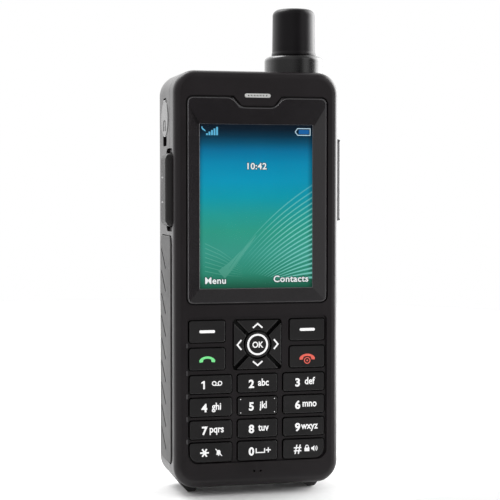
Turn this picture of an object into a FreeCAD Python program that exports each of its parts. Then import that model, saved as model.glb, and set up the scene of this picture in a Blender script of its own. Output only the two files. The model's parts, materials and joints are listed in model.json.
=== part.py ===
import FreeCAD, Part
import math
import os

# Handheld satellite phone. Millimetres.
# +X is to the right seen from the front, the screen faces -Y, and +Z is up.
# Origin: centre of the base, under the feet.

V = FreeCAD.Vector
PARTS = {}

# ---- driving dimensions: case ----
HALF_W = 27.7            # half width of the case, without side keys
DEPTH = 27.0             # front face to back face
BASE_Z = 2.5             # underside of the case; the feet reach Z = 0
TOP_Z = 138.0
FRONT_Y = -DEPTH / 2
BACK_Y = DEPTH / 2
CORNER_R = 7.2
FRONT_EDGE_R = 2.6
BACK_EDGE_R = 2.2
WALL = 1.8
FRONT_SKIN = 2.1         # thickness of the front face
PARTING_Y = FRONT_Y + 8.0
PARTING_GAP = 0.2
SIDE_PROUD = 2.3         # how far the volume key and port cover stand out
INNER_X = HALF_W - WALL
INNER_FRONT_Y = FRONT_Y + FRONT_SKIN
INNER_BACK_Y = BACK_Y - WALL

# ---- display ----
OPENING_X = 23.85
OPENING_Z = (62.15, 129.9)
OPENING_R = 2.4
LEDGE = 1.5              # width of the ledge that the bezel rests on
LEDGE_Y = FRONT_Y + 1.1
LEDGE_R = 1.1
BEZEL_Y = FRONT_Y + 0.1
BEZEL_GAP = 0.4
BEZEL_EDGE_R = 0.6
BEZEL_BODY_BACK = 0.1    # the bezel's body starts this far behind its flange's face
SCREEN_X = 19.0
SCREEN_Z = (67.35, 120.76)
SCREEN_Y = FRONT_Y + 1.65
MITRE_Z = 126.6          # where the bezel's side slopes stop at their outer edge
MITRE_OVER = 0.5         # how far the mitre cut runs on past the slopes
NOTCH_TOP = 8.05         # half width of the earpiece notch at its top
NOTCH_BOTTOM = 5.25
NOTCH_DEPTH = 3.2
NOTCH_CORNER_R = 1.0
EARPIECE_Z = 130.0
EARPIECE_SIZE = (8.9, 1.5)
EARPIECE_GAP = 0.1
EARPIECE_Y = (FRONT_Y + 0.15, INNER_FRONT_Y - 0.2)
EARPIECE_HOLES = 7
EARPIECE_HOLE_R = 0.25
EARPIECE_HOLE_PITCH = 1.0
RECEIVER_SIZE = (8.8, 6.8)   # the loudspeaker behind the earpiece slot
RECEIVER_DEPTH = 2.7
RECEIVER_R = 1.5
VENT_SIZE = (6.8, 2.8)
VENT_DEPTH = 0.5
VENT_R = 1.0
WINDOW_X = 21.2          # half width
WINDOW_Z = (65.0, 123.0)
WINDOW_Y = (-11.35, -10.5)
WINDOW_R = 1.0
LCD_X = 20.5             # half width
LCD_Z = (65.5, 122.5)
LCD_Y = (-10.35, -8.6)
LCD_R = 0.5
LCD_GAP = 0.1
TRAY_WALL = 0.6

# ---- keypad ----
FIELD_X = 23.5
FIELD_Z = (10.5, 58.3)
FIELD_DEPTH = 0.8
FIELD_TOP_R = 1.5
FIELD_BOTTOM_R = 3.5
KEY_FRONT_Y = FRONT_Y + 0.2
KEY_BACK_Y = INNER_FRONT_Y + 0.25
KEY_LIP = 0.6            # how far a key's lip reaches past its cap
KEY_LIP_Y = KEY_BACK_Y + 0.5
KEY_GAP = 0.35
KEY_EDGE_R = 0.25
KEY_CORNER_R = 0.8
KEY_OUTER_R = 3.2        # the two bottom corners of the number block
PLUNGER_R = 1.1
PLUNGER_Y = FRONT_Y + 4.15
PLUNGER_GAP = 0.4
NUMBER_COLUMNS = ((-15.7, 14.0), (0.0, 13.3), (15.7, 14.0))
NUMBER_ROWS = ((36.3, 5.9), (28.9, 5.9), (21.5, 5.9), (14.1, 6.3))
NUMBER_NAMES = (("1", "2", "3"), ("4", "5", "6"), ("7", "8", "9"), ("star", "0", "hash"))
FUNCTION_X = 16.85
FUNCTION_SIZE = (11.9, 7.05)
SOFT_ROW_Z = 53.55
CALL_ROW_Z = 44.6
NAV_Z = 48.97
NAV_HALF = (7.95, 8.0)
NAV_SLIT = 1.2
NAV_CORNER_R = 1.2
NAV_INNER = 2.0          # distance of each direction key's inner end from the centre
NAV_LIP_INSET = 2.2
NAV_LIP_ROOT = 1.0
NAV_PLUNGER = 6.2        # distance of each direction key's plunger from the centre
SELECT_R = 4.25
SELECT_HOLE_R = 4.75
SELECT_LIP_R = 4.9
SELECT_LIP_Y = (KEY_BACK_Y + 0.4, KEY_BACK_Y + 0.7)
MICROPHONE_HOLES_X = (-1.2, 1.0)
MICROPHONE_HOLES_Z = 7.5
MICROPHONE_HOLE_R = 0.35
MICROPHONE_R = 2.0
MICROPHONE_DEPTH = 1.5
MICROPHONE_Z = 7.2

# ---- boards behind the keypad ----
MAT_X = 22.8             # half width of the mat and of the board behind it
MAT_Y = (-10.0, -9.4)
MAT_Z = (9.8, 58.9)
MAT_R = 3.0
DOME_R = 1.9
DOME_TOP_R = 1.0
DOME_RISE = 0.3
KEYPAD_BOARD_Y = (-8.6, -7.8)
KEYPAD_BOARD_Z = (9.4, 59.5)
MAIN_BOARD_Y = (-5.0, -3.8)
BOARD_X = 23.9
BOARD_Z = (6.2, 133.0)
BOARD_R = 3.5
BOARD_NOTCH_X = 8.0      # the board stops here beside the antenna guide
BOARD_NOTCH_Z = 84.0
BOARD_SHORT_Z = 112.0    # above this the corner outside the guide is missing too
SHIELD_CANS = (((-20.0, -1.5), (12.0, 34.0)),
               ((1.5, 20.0), (12.0, 40.0)),
               ((-18.5, 4.5), (84.0, 95.0)))
SHIELD_HEIGHT = 2.2
SHIELD_SHEET = 0.3
SHIELD_R = 0.8
LOUDSPEAKER_X = -9.0
LOUDSPEAKER_Z = 104.0
LOUDSPEAKER_R = 8.0
LOUDSPEAKER_DEPTH = 4.0
LOUDSPEAKER_CONE_R = 6.6
LOUDSPEAKER_DISH = 0.8
SLOTS = 5                # sound slots in the back, the middle one longest
SLOT_PITCH = 2.4
SLOT_HEIGHT = 1.1
SLOT_WIDTH = 11.0
SLOT_SHORTER = 1.4

# ---- antenna ----
ANTENNA_X = 15.8
ANTENNA_TOP = 160.0
COLLAR_R = 9.75
COLLAR_TOP = 144.0
COLLAR_FOOT = TOP_Z - 3.0   # the collar's skirt follows the case's rounded corner down to here
COLLAR_EDGE_R = 1.6
COLLAR_BORE_GAP = 0.05
CAP_R = 7.2
CAP_BOTTOM = 144.3
CAP_LIP = 0.2            # small bead round the cap's foot
CAP_LIP_Z = (144.8, 145.5)
CAP_DRAFT = 0.15         # the cap is this much slimmer at its shoulder
CAP_EDGE_R = 2.1
CAP_ROOF = 2.0
CAP_DOME_RISE = 0.3
MAST_R = 5.5
MAST_WALL = 1.0
MAST_BOTTOM = 88.0
CONTACT_RING_HEIGHT = 2.0
CORE_R = 3.0
CORE_GAP = 0.2
HELIX_R = 3.65
HELIX_WIRE_R = 0.5
HELIX_TURNS = 6
HELIX_PITCH = 9.0
HELIX_SIDES = 12         # straight runs to a turn
HELIX_LIFT = 5.0
GUIDE_R = 6.6
GUIDE_FIT = 0.1
GUIDE_BORE_R = MAST_R + 0.1
GUIDE_BOTTOM = 86.0

# ---- battery and its cover ----
BAY_X = 19.6
BAY_Z = (11.0, 77.5)
BAY_FLOOR_Y = (1.6, 2.8)
BAY_WALL = 1.0
BAY_R = 1.5
LID_SEAT_Y = 11.0
LID_RECESS_X = 24.3
LID_RECESS_Z = (5.2, 82.0)
LID_RECESS_R = 4.3
LID_GAP = 0.2
LID_THICK = 1.8
LID_EDGE_R = 0.4
SEAT_THICK = 1.6
SEAT_MARGIN = 2.0        # how far the seat runs on above the cover's recess
SEAT_BURIED = 0.2
SEAL_SECTION = (0.8, 0.6)
SEAL_FROM_BAY = 0.4
SEAL_R = 1.6
THUMB_R = 9.0
THUMB_OUT = 7.6          # the scoop's centre is this far behind the back face
THUMB_ABOVE = 0.5
PACK_GAP = 0.3
PACK_R = 1.2
CONTACTS_X = (-4.5, -1.5, 1.5, 4.5)
CONTACT_Z = 71.5
CONTACT_R = 0.7
CONTACT_GAP = 0.2
CONTACT_PROUD = 0.2
CONNECTOR_X = 6.0
CONNECTOR_HEIGHT = 4.0
PACK_CONTACT_HEIGHT = 3.0
SIM_X = (-18.0, 0.0)
SIM_Z = (29.5, 47.5)
SIM_WALL = 1.0
SIM_SHEET = 0.3
SIM_BELOW_FLOOR = 0.1
SIM_FINGER_INSET = 4.0
SIM_FINGER_Z = 36.0
SIM_FINGER_R = 2.0
SIM_CARD = (15.0, 15.6, 0.4)
SIM_CARD_R = 1.0

# ---- screws: X, Z of each post ----
POSTS_UNDER_LID = ((-20.8, 7.5), (20.8, 7.5), (-22.5, 60.5), (22.5, 60.5))
POSTS_ABOVE_LID = ((-22.0, 131.0), (6.6, 132.2))
POST_R = 2.3
POST_FRONT_R = 1.9
POST_GAP = 0.2           # space between the two halves of a post
POST_CLEARANCE = 0.3     # round each post, in the boards and the mat
SCREW_HEAD_R = 1.5
SCREW_SHANK_R = 0.7
SCREW_FIT = 0.15
PILOT_SPARE = 0.2
CROSS_LENGTH = 1.8
CROSS_WIDTH = 0.4
CROSS_DEPTH = 0.5
SCREW_HEAD_Y = (0.0, 1.2)
SCREW_TIP_Y = -9.4

# ---- seal along the parting line ----
HOUSING_SEAL = (0.7, 1.4)    # width and height of the cord
HOUSING_SEAL_GAP = 0.05
SEAL_BREAKS = (((-40.0, -20.0), (85.5, 113.5)),
               ((20.0, 40.0), (88.0, 118.0)),
               ((8.2, 23.2), (130.0, 140.0)))

# ---- sides ----
GRIP_Z = (10.0, 84.4)
GRIP_Y = (-8.7, 9.0)
GRIP_PROUD = 0.4
GRIP_POCKET = 0.8
GRIP_R = 3.0
GRIP_PAD_R = 2.7
GRIP_EDGE_R = 0.35
GRIP_ZONE_GAP = 0.1
GRIP_GAP = (0.55, 0.3)   # pocket clearance along Y and Z
GROOVES = 9
GROOVE_PITCH = 7.5
GROOVE_FIRST_Z = 13.5
GROOVE_Y = (-0.5, 7.0)
GROOVE_RISE = 6.5
GROOVE_WIDTH = 0.85
GROOVE_BELOW = 0.1       # the grooves reach this far below the case's side
SIDE_KEY_Y = (-10.5, -0.5)
SIDE_KEY_R = 2.4
SIDE_KEY_GAP = 0.2
BAR_ROOT = 0.2           # a side bar's roundings start this far out from the case
BAR_BACK_RUN = 3.2
BAR_END_ROOT = 0.4
BAR_END_RUN = 3.0
VOLUME_Z = (87.6, 111.3)
VOLUME_RECESS = (0.4, 1.7)   # how far the recess round the volume key reaches past it, along Y and Z
VOLUME_RECESS_DEPTH = 1.0
VOLUME_GAP = (0.3, 0.4)      # clearance of the hole round the volume key, along Y and Z
VOLUME_CROWN = 0.8
VOLUME_FLANGE = (0.5, 1.3)   # how far the flange reaches past the key, along Y and Z
VOLUME_FLANGE_DEEP = 1.2
VOLUME_FLANGE_THICK = 0.6
VOLUME_FLANGE_R = 2.0
PORT_COVER_Z = (89.0, 116.5)
PORT_COVER_DEEP = 0.9
PORT_POCKET = 1.0
PORT_GAP = 0.2
PORT_CROWN = 3.0
JACK_Y = 2.2
JACK_Z = 122.8
JACK_COVER_R = 5.9
JACK_COVER_PROUD = 0.2
JACK_COVER_DEEP = 1.3
JACK_COVER_EDGE_R = 0.3
JACK_COVER_GAP = 0.3
JACK_SEAT = 1.6
JACK_TAB_WIDTH = 4.0
JACK_TAB_HEIGHT = 1.5
JACK_TAB_DEEP = 1.2
JACK_PIN_R = 0.55
JACK_PIN_DEEP = 0.35
JACK_SLOT_HEIGHT = 2.0
JACK_BOSS_R = 6.8
JACK_BOSS_DEPTH = 2.9
JACK_BORE_R = 1.8
JACK_NOSE_R = 2.5
JACK_NOSE_GAP = 0.2
JACK_NOSE_SET_BACK = 1.7
JACK_HOLE_DEPTH = 4.0
JACK_BODY_X = -HALF_W + 3.0
JACK_BODY_LENGTH = 13.0
JACK_BODY_HALF = 3.2
JACK_BODY_FLOOR = 1.0
NAIL_NOTCH_SIZE = (6.0, 3.5)
NAIL_NOTCH_Z = 115.65
NAIL_NOTCH_DEPTH = 1.4
NAIL_NOTCH_R = 0.9
USB_X = (21.6, HALF_W - 1.2)
USB_Y = -6.25
USB_Z = 102.75
USB_OPENING = (3.4, 8.6)     # sizes along Y and Z
USB_OPENING_R = 1.0
USB_SHELL = (2.5, 7.4)
USB_MOUTH = (1.9, 6.8)
USB_TONGUE = (0.6, 4.8)

# ---- feet ----
FOOT_Y = (-5.3, 8.5)
FOOT_INNER_X = 18.9
FOOT_FLAT_X = (19.4, 21.7)
FOOT_LEAD = 0.6          # height of the slope at the pad's inner edge
FOOT_KEYED = 1.0         # how far the pads reach into the housing
FOOT_EDGE_R = 0.5

# ---- working values ----
FAR = 40.0               # comfortably outside the phone on every side
SKY = 200.0              # comfortably above the antenna
OVER = 1.0               # how far a cutting shape runs past what it cuts
BURIED = 0.5             # how far one shape is sunk into another that it joins
SLIVER = 0.02            # keeps edges that would meet just apart
TINY = 1e-4              # for comparing lengths


def keep(name, shape):
    """File a finished sub-part under its node name."""
    PARTS[name] = shape


def grown(limits, amount):
    return (limits[0] - amount, limits[1] + amount)


def about(centre, size):
    """Limits of a given size, centred on a value."""
    return (centre - size / 2, centre + size / 2)


def block(x, y, z):
    """Box between pairs of limits."""
    return Part.makeBox(x[1] - x[0], y[1] - y[0], z[1] - z[0], V(x[0], y[0], z[0]))


def outline(u, v, radii):
    """Closed rounded rectangle in a plane, as a list of (start, mid, end) corner arcs.

    radii run anticlockwise from the low-u, low-v corner.
    """
    corners = ((u[0], v[0], 1, 1, 180), (u[1], v[0], -1, 1, 270),
               (u[1], v[1], -1, -1, 0), (u[0], v[1], 1, -1, 90))
    arcs = []
    for (cu, cv, su, sv, start), r in zip(corners, radii):
        mid_u = cu + su * r
        mid_v = cv + sv * r
        points = []
        for step in (0, 45, 90):
            a = math.radians(start + step)
            points.append((mid_u + r * math.cos(a), mid_v + r * math.sin(a)))
        arcs.append(points)
    return arcs


def plate_wire(u, v, radii, place):
    """Wire of a rounded rectangle; place(u, v) gives a point in space."""
    arcs = outline(u, v, radii)
    edges = []
    for i, (a, m, b) in enumerate(arcs):
        edges.append(Part.Arc(place(*a), place(*m), place(*b)).toShape())
        following = arcs[(i + 1) % len(arcs)][0]
        if math.dist(b, following) > TINY:
            edges.append(Part.makeLine(place(*b), place(*following)))
    return Part.Wire(edges)


def front_plate(x, z, y, r):
    """Rounded rectangle in XZ, extruded along Y between two limits."""
    radii = r if isinstance(r, tuple) else (r, r, r, r)
    wire = plate_wire(x, z, radii, lambda u, v: V(u, y[0], v))
    return Part.Face(wire).extrude(V(0, y[1] - y[0], 0))


def side_plate(y, z, x, r):
    """Rounded rectangle in YZ, extruded along X between two limits."""
    radii = r if isinstance(r, tuple) else (r, r, r, r)
    wire = plate_wire(y, z, radii, lambda u, v: V(x[0], u, v))
    return Part.Face(wire).extrude(V(x[1] - x[0], 0, 0))


def front_prism(points, y):
    """Polygon in XZ, extruded along Y between two limits."""
    wire = Part.makePolygon([V(px, y[0], pz) for px, pz in points + points[:1]])
    return Part.Face(wire).extrude(V(0, y[1] - y[0], 0))


def rod_x(r, x, y, z):
    return Part.makeCylinder(r, x[1] - x[0], V(x[0], y, z), V(1, 0, 0))


def rod_y(r, x, y, z):
    return Part.makeCylinder(r, y[1] - y[0], V(x, y[0], z), V(0, 1, 0))


def rod_z(r, x, y, z):
    return Part.makeCylinder(r, z[1] - z[0], V(x, y, z[0]), V(0, 0, 1))


def edges_at_y(shape, y):
    """Edges of a shape that lie wholly in the plane at y."""
    found = []
    for edge in shape.Edges:
        box = edge.BoundBox
        if abs(box.YMin - y) < TINY and abs(box.YMax - y) < TINY:
            found.append(edge)
    return found


def edges_at_x(shape, x):
    """Edges of a shape that lie wholly in the plane at x."""
    found = []
    for edge in shape.Edges:
        box = edge.BoundBox
        if abs(box.XMin - x) < TINY and abs(box.XMax - x) < TINY:
            found.append(edge)
    return found


def mirror_x(shape):
    return shape.mirror(V(0, 0, 0), V(1, 0, 0))


# ---------------------------------------------------------------- case shells

def case_outer():
    """Outer form of the case as one solid."""
    outer = front_plate((-HALF_W, HALF_W), (BASE_Z, TOP_Z), (FRONT_Y, BACK_Y), CORNER_R)
    outer = outer.makeFillet(FRONT_EDGE_R, edges_at_y(outer, FRONT_Y))
    return outer.makeFillet(BACK_EDGE_R, edges_at_y(outer, BACK_Y))


def case_shell():
    """Both halves of the case as one hollow shell, before they are parted."""
    outer = case_outer()
    inner = front_plate((-INNER_X, INNER_X), (BASE_Z + WALL, TOP_Z - WALL),
                        (INNER_FRONT_Y, INNER_BACK_Y), CORNER_R - WALL)
    return outer.cut(inner)


def grip_zone(grow):
    """Area of each side wall that belongs to the grip pocket."""
    y = (GRIP_Y[0] - GRIP_GAP[0] - grow, GRIP_Y[1] + GRIP_GAP[1] + grow)
    z = (GRIP_Z[0] - GRIP_GAP[1] - grow, GRIP_Z[1] + GRIP_GAP[1] + grow)
    right = side_plate(y, z, (INNER_X - OVER, HALF_W + OVER), GRIP_R)
    return right.fuse(mirror_x(right))


def side_openings():
    """Holes through the side walls for the volume key and the data socket."""
    key = side_plate(grown(SIDE_KEY_Y, VOLUME_GAP[0]), grown(VOLUME_Z, VOLUME_GAP[1]),
                     (-HALF_W - OVER, -INNER_X + OVER), SIDE_KEY_R)
    recess = side_plate(grown(SIDE_KEY_Y, VOLUME_RECESS[0]), grown(VOLUME_Z, VOLUME_RECESS[1]),
                        (-HALF_W - OVER, -HALF_W + VOLUME_RECESS_DEPTH), SIDE_KEY_R)
    pocket = side_plate(grown(SIDE_KEY_Y, PORT_GAP), grown(PORT_COVER_Z, PORT_GAP),
                        (HALF_W - PORT_POCKET, HALF_W + OVER), SIDE_KEY_R)
    socket = side_plate(about(USB_Y, USB_OPENING[0]), about(USB_Z, USB_OPENING[1]),
                        (INNER_X - OVER, HALF_W), USB_OPENING_R)
    return key.fuse([recess, pocket, socket])


def antenna_hole():
    """Hole through the top wall for the antenna guide."""
    return rod_z(GUIDE_R + GUIDE_FIT, ANTENNA_X, 0, (TOP_Z - WALL - OVER, TOP_Z + OVER))


def earpiece_notch(grow, y):
    """Tab of the front cover that dips into the top of the display opening."""
    top = OPENING_Z[1] + OVER
    brim = OPENING_Z[1] + grow / 2
    low = OPENING_Z[1] - NOTCH_DEPTH - grow
    right = [(NOTCH_BOTTOM + grow, low), (NOTCH_TOP + grow, brim), (NOTCH_TOP + grow, top)]
    left = [(-x, z) for x, z in reversed(right)]
    solid = front_prism(left + right, y)
    corners = []
    for edge in solid.Edges:
        box = edge.BoundBox
        upright = box.YLength > TINY and box.XLength < TINY and box.ZLength < TINY
        if upright and abs(box.ZMin - low) < TINY:
            corners.append(edge)
    return solid.makeFillet(NOTCH_CORNER_R, corners)


def nav_square(grow):
    return about(0, 2 * NAV_HALF[0] + 2 * grow), about(NAV_Z, 2 * NAV_HALF[1] + 2 * grow)


def rectangular_keys():
    """Name, X limits, Z limits and corner radii of every key with a rectangular cap."""
    keys = []
    for name, side, z in (("soft_left", -1, SOFT_ROW_Z), ("soft_right", 1, SOFT_ROW_Z),
                          ("call", -1, CALL_ROW_Z), ("end", 1, CALL_ROW_Z)):
        x = about(side * FUNCTION_X, FUNCTION_SIZE[0])
        keys.append((name, x, about(z, FUNCTION_SIZE[1]), (KEY_CORNER_R,) * 4))
    for (z, height), names in zip(NUMBER_ROWS, NUMBER_NAMES):
        for (x, width), name in zip(NUMBER_COLUMNS, names):
            radii = [KEY_CORNER_R] * 4
            if name == "star":
                radii[0] = KEY_OUTER_R
            if name == "hash":
                radii[1] = KEY_OUTER_R
            keys.append((name, about(x, width), about(z, height), tuple(radii)))
    return keys


def front_posts():
    """Screw posts inside the front cover, with their pilot holes."""
    posts = []
    holes = []
    for x, z in POSTS_UNDER_LID + POSTS_ABOVE_LID:
        posts.append(rod_y(POST_FRONT_R, x, (INNER_FRONT_Y - BURIED, PARTING_Y - POST_GAP / 2), z))
        holes.append(rod_y(SCREW_SHANK_R, x, (SCREW_TIP_Y - PILOT_SPARE, PARTING_Y), z))
    return posts, holes


def display_opening():
    """Stepped opening for the bezel: a recess down to its ledge, and the hole inside the ledge."""
    y = (FRONT_Y - OVER, INNER_FRONT_Y + OVER)
    recess = front_plate((-OPENING_X, OPENING_X), OPENING_Z, (y[0], LEDGE_Y), OPENING_R)
    hole = front_plate(grown((-OPENING_X, OPENING_X), -LEDGE), grown(OPENING_Z, -LEDGE), y, LEDGE_R)
    return [recess.cut(earpiece_notch(0.0, y)), hole.cut(earpiece_notch(LEDGE, y))]


def keypad_openings():
    """The shallow field that the keys stand in, and a hole through it for each key."""
    y = (FRONT_Y - OVER, INNER_FRONT_Y + OVER)
    field_radii = (FIELD_BOTTOM_R, FIELD_BOTTOM_R, FIELD_TOP_R, FIELD_TOP_R)
    cuts = [front_plate((-FIELD_X, FIELD_X), FIELD_Z, (y[0], FRONT_Y + FIELD_DEPTH), field_radii)]
    for _, x, z, radii in rectangular_keys():
        hole_radii = tuple(r + KEY_GAP for r in radii)
        cuts.append(front_plate(grown(x, KEY_GAP), grown(z, KEY_GAP), y, hole_radii))
    nav_x, nav_z = nav_square(KEY_GAP)
    cuts.append(front_plate(nav_x, nav_z, y, NAV_CORNER_R))
    return cuts


def front_cover(shell):
    ahead = block((-FAR, FAR), (-FAR, PARTING_Y - PARTING_GAP / 2), (-FAR, SKY))
    posts, pilot_holes = front_posts()
    body = shell.common(ahead).fuse(posts)
    through = (FRONT_Y - OVER, INNER_FRONT_Y + OVER)
    width, height = EARPIECE_SIZE
    slot = front_plate(about(0, width), about(EARPIECE_Z, height), through, height / 2 - SLIVER)
    cuts = display_opening() + keypad_openings() + pilot_holes + [slot]
    for x in MICROPHONE_HOLES_X:
        cuts.append(rod_y(MICROPHONE_HOLE_R, x, through, MICROPHONE_HOLES_Z))
    cuts += [grip_zone(GRIP_ZONE_GAP), side_openings(), antenna_hole()]
    keep("front_cover", body.cut(cuts))


def foot_profile():
    """Outline of the right-hand corner pad, seen from the front."""
    corner_x = HALF_W - CORNER_R
    corner_z = BASE_Z + CORNER_R
    slope = CORNER_R * math.cos(math.radians(45))
    return [(FOOT_INNER_X, BASE_Z + FOOT_KEYED), (FOOT_INNER_X, FOOT_LEAD), (FOOT_FLAT_X[0], 0.0),
            (FOOT_FLAT_X[1], 0.0), (corner_x + slope, corner_z - slope),
            (corner_x + slope - FOOT_KEYED, corner_z - slope + FOOT_KEYED)]


def corner_feet():
    """Rubber pads round the two bottom corners, keyed into the rear housing."""
    pad = front_prism(foot_profile(), FOOT_Y)
    core = front_plate(grown((-HALF_W, HALF_W), -FOOT_KEYED), (BASE_Z + FOOT_KEYED, TOP_Z),
                       (FRONT_Y, BACK_Y), CORNER_R - FOOT_KEYED)
    pad = pad.cut(core)
    flat_length = FOOT_FLAT_X[1] - FOOT_FLAT_X[0]
    flat = [e for e in pad.Edges if e.BoundBox.ZMax < TINY and e.BoundBox.XLength > flat_length / 2]
    return pad.makeFillet(FOOT_EDGE_R, flat)


def battery_tub():
    """Walls and floor of the battery bay, and the seat that the cover closes on."""
    tub = front_plate(grown((-BAY_X, BAY_X), BAY_WALL), grown(BAY_Z, BAY_WALL),
                      (BAY_FLOOR_Y[0], LID_SEAT_Y), BAY_R + BAY_WALL / 2)
    seat_x = grown((-INNER_X, INNER_X), SEAT_BURIED)
    seat_z = (BASE_Z + WALL - SEAT_BURIED, LID_RECESS_Z[1] + SEAT_MARGIN)
    inner_r = CORNER_R - WALL
    seat = front_plate(seat_x, seat_z, (LID_SEAT_Y - SEAT_THICK, INNER_BACK_Y + SLIVER),
                       (inner_r, inner_r, 1, 1))
    return tub.fuse(seat)


def loudspeaker_slots():
    slots = []
    for step in range(SLOTS):
        from_middle = step - (SLOTS - 1) / 2
        width = SLOT_WIDTH - SLOT_SHORTER * abs(from_middle)
        z = LOUDSPEAKER_Z + SLOT_PITCH * from_middle
        slots.append(front_plate(about(LOUDSPEAKER_X, width), about(z, SLOT_HEIGHT),
                                 (INNER_BACK_Y - OVER, BACK_Y + OVER), SLOT_HEIGHT / 2 - SLIVER))
    return slots


def rear_posts():
    """Screw posts of the rear housing and the counterbores for the screw heads."""
    posts = []
    holes = []
    seat_y = SCREW_HEAD_Y[0]
    for x, z in POSTS_UNDER_LID + POSTS_ABOVE_LID:
        back = LID_SEAT_Y if (x, z) in POSTS_UNDER_LID else INNER_BACK_Y + BURIED
        posts.append(rod_y(POST_R, x, (PARTING_Y + POST_GAP, back), z))
        holes.append(rod_y(SCREW_HEAD_R + SCREW_FIT, x, (seat_y, BACK_Y + OVER), z))
        holes.append(rod_y(SCREW_SHANK_R + SCREW_FIT, x, (PARTING_Y, seat_y + OVER), z))
    return posts, holes


def thumb_scoop():
    """Dished finger hold at the head of the battery cover, shared by the cover and the housing."""
    return Part.makeSphere(THUMB_R, V(0, BACK_Y + THUMB_OUT, LID_RECESS_Z[1] + THUMB_ABOVE))


def grip_pocket():
    """The shallow seats of the two grip pads."""
    between = block(grown((-HALF_W, HALF_W), -GRIP_POCKET), (-FAR, FAR), (-FAR, SKY))
    return grip_zone(0.0).cut(between)


def jack_openings():
    """Seat of the jack cover with its hinge slot and nail notch, and the hole behind it."""
    wall = -HALF_W - OVER
    seat = rod_x(JACK_COVER_R + JACK_COVER_GAP, (wall, -HALF_W + JACK_SEAT), JACK_Y, JACK_Z)
    hole = rod_x(JACK_NOSE_R + JACK_NOSE_GAP, (-HALF_W, -HALF_W + JACK_HOLE_DEPTH), JACK_Y, JACK_Z)
    notch = side_plate(about(JACK_Y, NAIL_NOTCH_SIZE[0]), about(NAIL_NOTCH_Z, NAIL_NOTCH_SIZE[1]),
                       (wall, -HALF_W + NAIL_NOTCH_DEPTH), NAIL_NOTCH_R)
    slot = block((wall, -HALF_W + JACK_SEAT), about(JACK_Y, JACK_TAB_WIDTH + 2 * JACK_COVER_GAP),
                 about(JACK_Z + JACK_COVER_R, JACK_SLOT_HEIGHT))
    return [seat, hole, notch, slot]


def contact_rods(r, y):
    """One round rod at each battery contact."""
    return [rod_y(r, x, y, CONTACT_Z) for x in CONTACTS_X]


def rear_housing(shell, feet):
    behind = block((-FAR, FAR), (PARTING_Y + PARTING_GAP / 2, FAR), (-FAR, SKY))
    posts, screw_holes = rear_posts()
    boss = rod_x(JACK_BOSS_R, (-HALF_W + BURIED, -HALF_W + JACK_BOSS_DEPTH), JACK_Y, JACK_Z)
    body = shell.common(behind).fuse(shell.common(grip_zone(0.0)))
    body = body.fuse([battery_tub(), boss] + posts)

    bay = front_plate((-BAY_X, BAY_X), BAY_Z, (BAY_FLOOR_Y[1], BACK_Y + OVER), BAY_R)
    recess = front_plate((-LID_RECESS_X, LID_RECESS_X), LID_RECESS_Z, (LID_SEAT_Y, BACK_Y + OVER),
                         LID_RECESS_R)
    sim_well = block(SIM_X, grown(BAY_FLOOR_Y, SEAT_BURIED), SIM_Z)
    cuts = [bay, recess, thumb_scoop(), grip_pocket(), sim_well, side_openings(), antenna_hole(), feet]
    cuts += jack_openings() + contact_rods(CONTACT_R + CONTACT_GAP, grown(BAY_FLOOR_Y, OVER))
    cuts += loudspeaker_slots() + screw_holes
    keep("rear_housing", body.cut(cuts))


def make_case():
    shell = case_shell()
    pad = corner_feet()
    feet = Part.makeCompound([pad, mirror_x(pad)])
    front_cover(shell)
    rear_housing(shell, feet)
    keep("corner_feet", feet)


def housing_seal():
    """Rubber cord that seals the parting line from inside, broken at the side fittings."""
    y = about(PARTING_Y, HOUSING_SEAL[1])
    rings = []
    for inset in (HOUSING_SEAL_GAP, HOUSING_SEAL_GAP + HOUSING_SEAL[0]):
        rings.append(front_plate(grown((-INNER_X, INNER_X), -inset),
                                 (BASE_Z + WALL + inset, TOP_Z - WALL - inset), y,
                                 CORNER_R - WALL - inset))
    breaks = [block(x, (-FAR, FAR), z) for x, z in SEAL_BREAKS]
    keep("housing_seal", rings[0].cut([rings[1]] + breaks))


def housing_screws():
    screws = []
    for x, z in POSTS_UNDER_LID + POSTS_ABOVE_LID:
        head = rod_y(SCREW_HEAD_R, x, SCREW_HEAD_Y, z)
        shank = rod_y(SCREW_SHANK_R - SLIVER, x, (SCREW_TIP_Y, SCREW_HEAD_Y[0] + SLIVER), z)
        y = (SCREW_HEAD_Y[1] - CROSS_DEPTH, SCREW_HEAD_Y[1] + OVER)
        upright = block(about(x, CROSS_WIDTH), y, about(z, CROSS_LENGTH))
        level = block(about(x, CROSS_LENGTH), y, about(z, CROSS_WIDTH))
        screws.append(head.fuse(shank).cut([upright, level]))
    keep("housing_screws", Part.makeCompound(screws))


# -------------------------------------------------------------------- display

def bezel_frame():
    """The bezel before its slopes are cut: a flange on the ledge and a body inside it."""
    gap = BEZEL_GAP
    deep = (FRONT_Y - OVER, INNER_FRONT_Y + OVER)
    flange = front_plate(grown((-OPENING_X, OPENING_X), -gap), grown(OPENING_Z, -gap),
                         (BEZEL_Y, LEDGE_Y), OPENING_R - gap)
    flange = flange.cut(earpiece_notch(gap, deep))
    flange = flange.makeFillet(BEZEL_EDGE_R, edges_at_y(flange, BEZEL_Y))
    body = front_plate(grown((-OPENING_X, OPENING_X), -LEDGE - gap), grown(OPENING_Z, -LEDGE - gap),
                       (BEZEL_Y + BEZEL_BODY_BACK, INNER_FRONT_Y - SLIVER), LEDGE_R - gap / 2)
    return flange.fuse(body.cut(earpiece_notch(LEDGE + gap, deep)))


def rectangle(x, z, y):
    """Closed rectangular wire in the plane at y."""
    corners = [V(x[0], y, z[0]), V(x[1], y, z[0]), V(x[1], y, z[1]), V(x[0], y, z[1])]
    return Part.makePolygon(corners + corners[:1])


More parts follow.
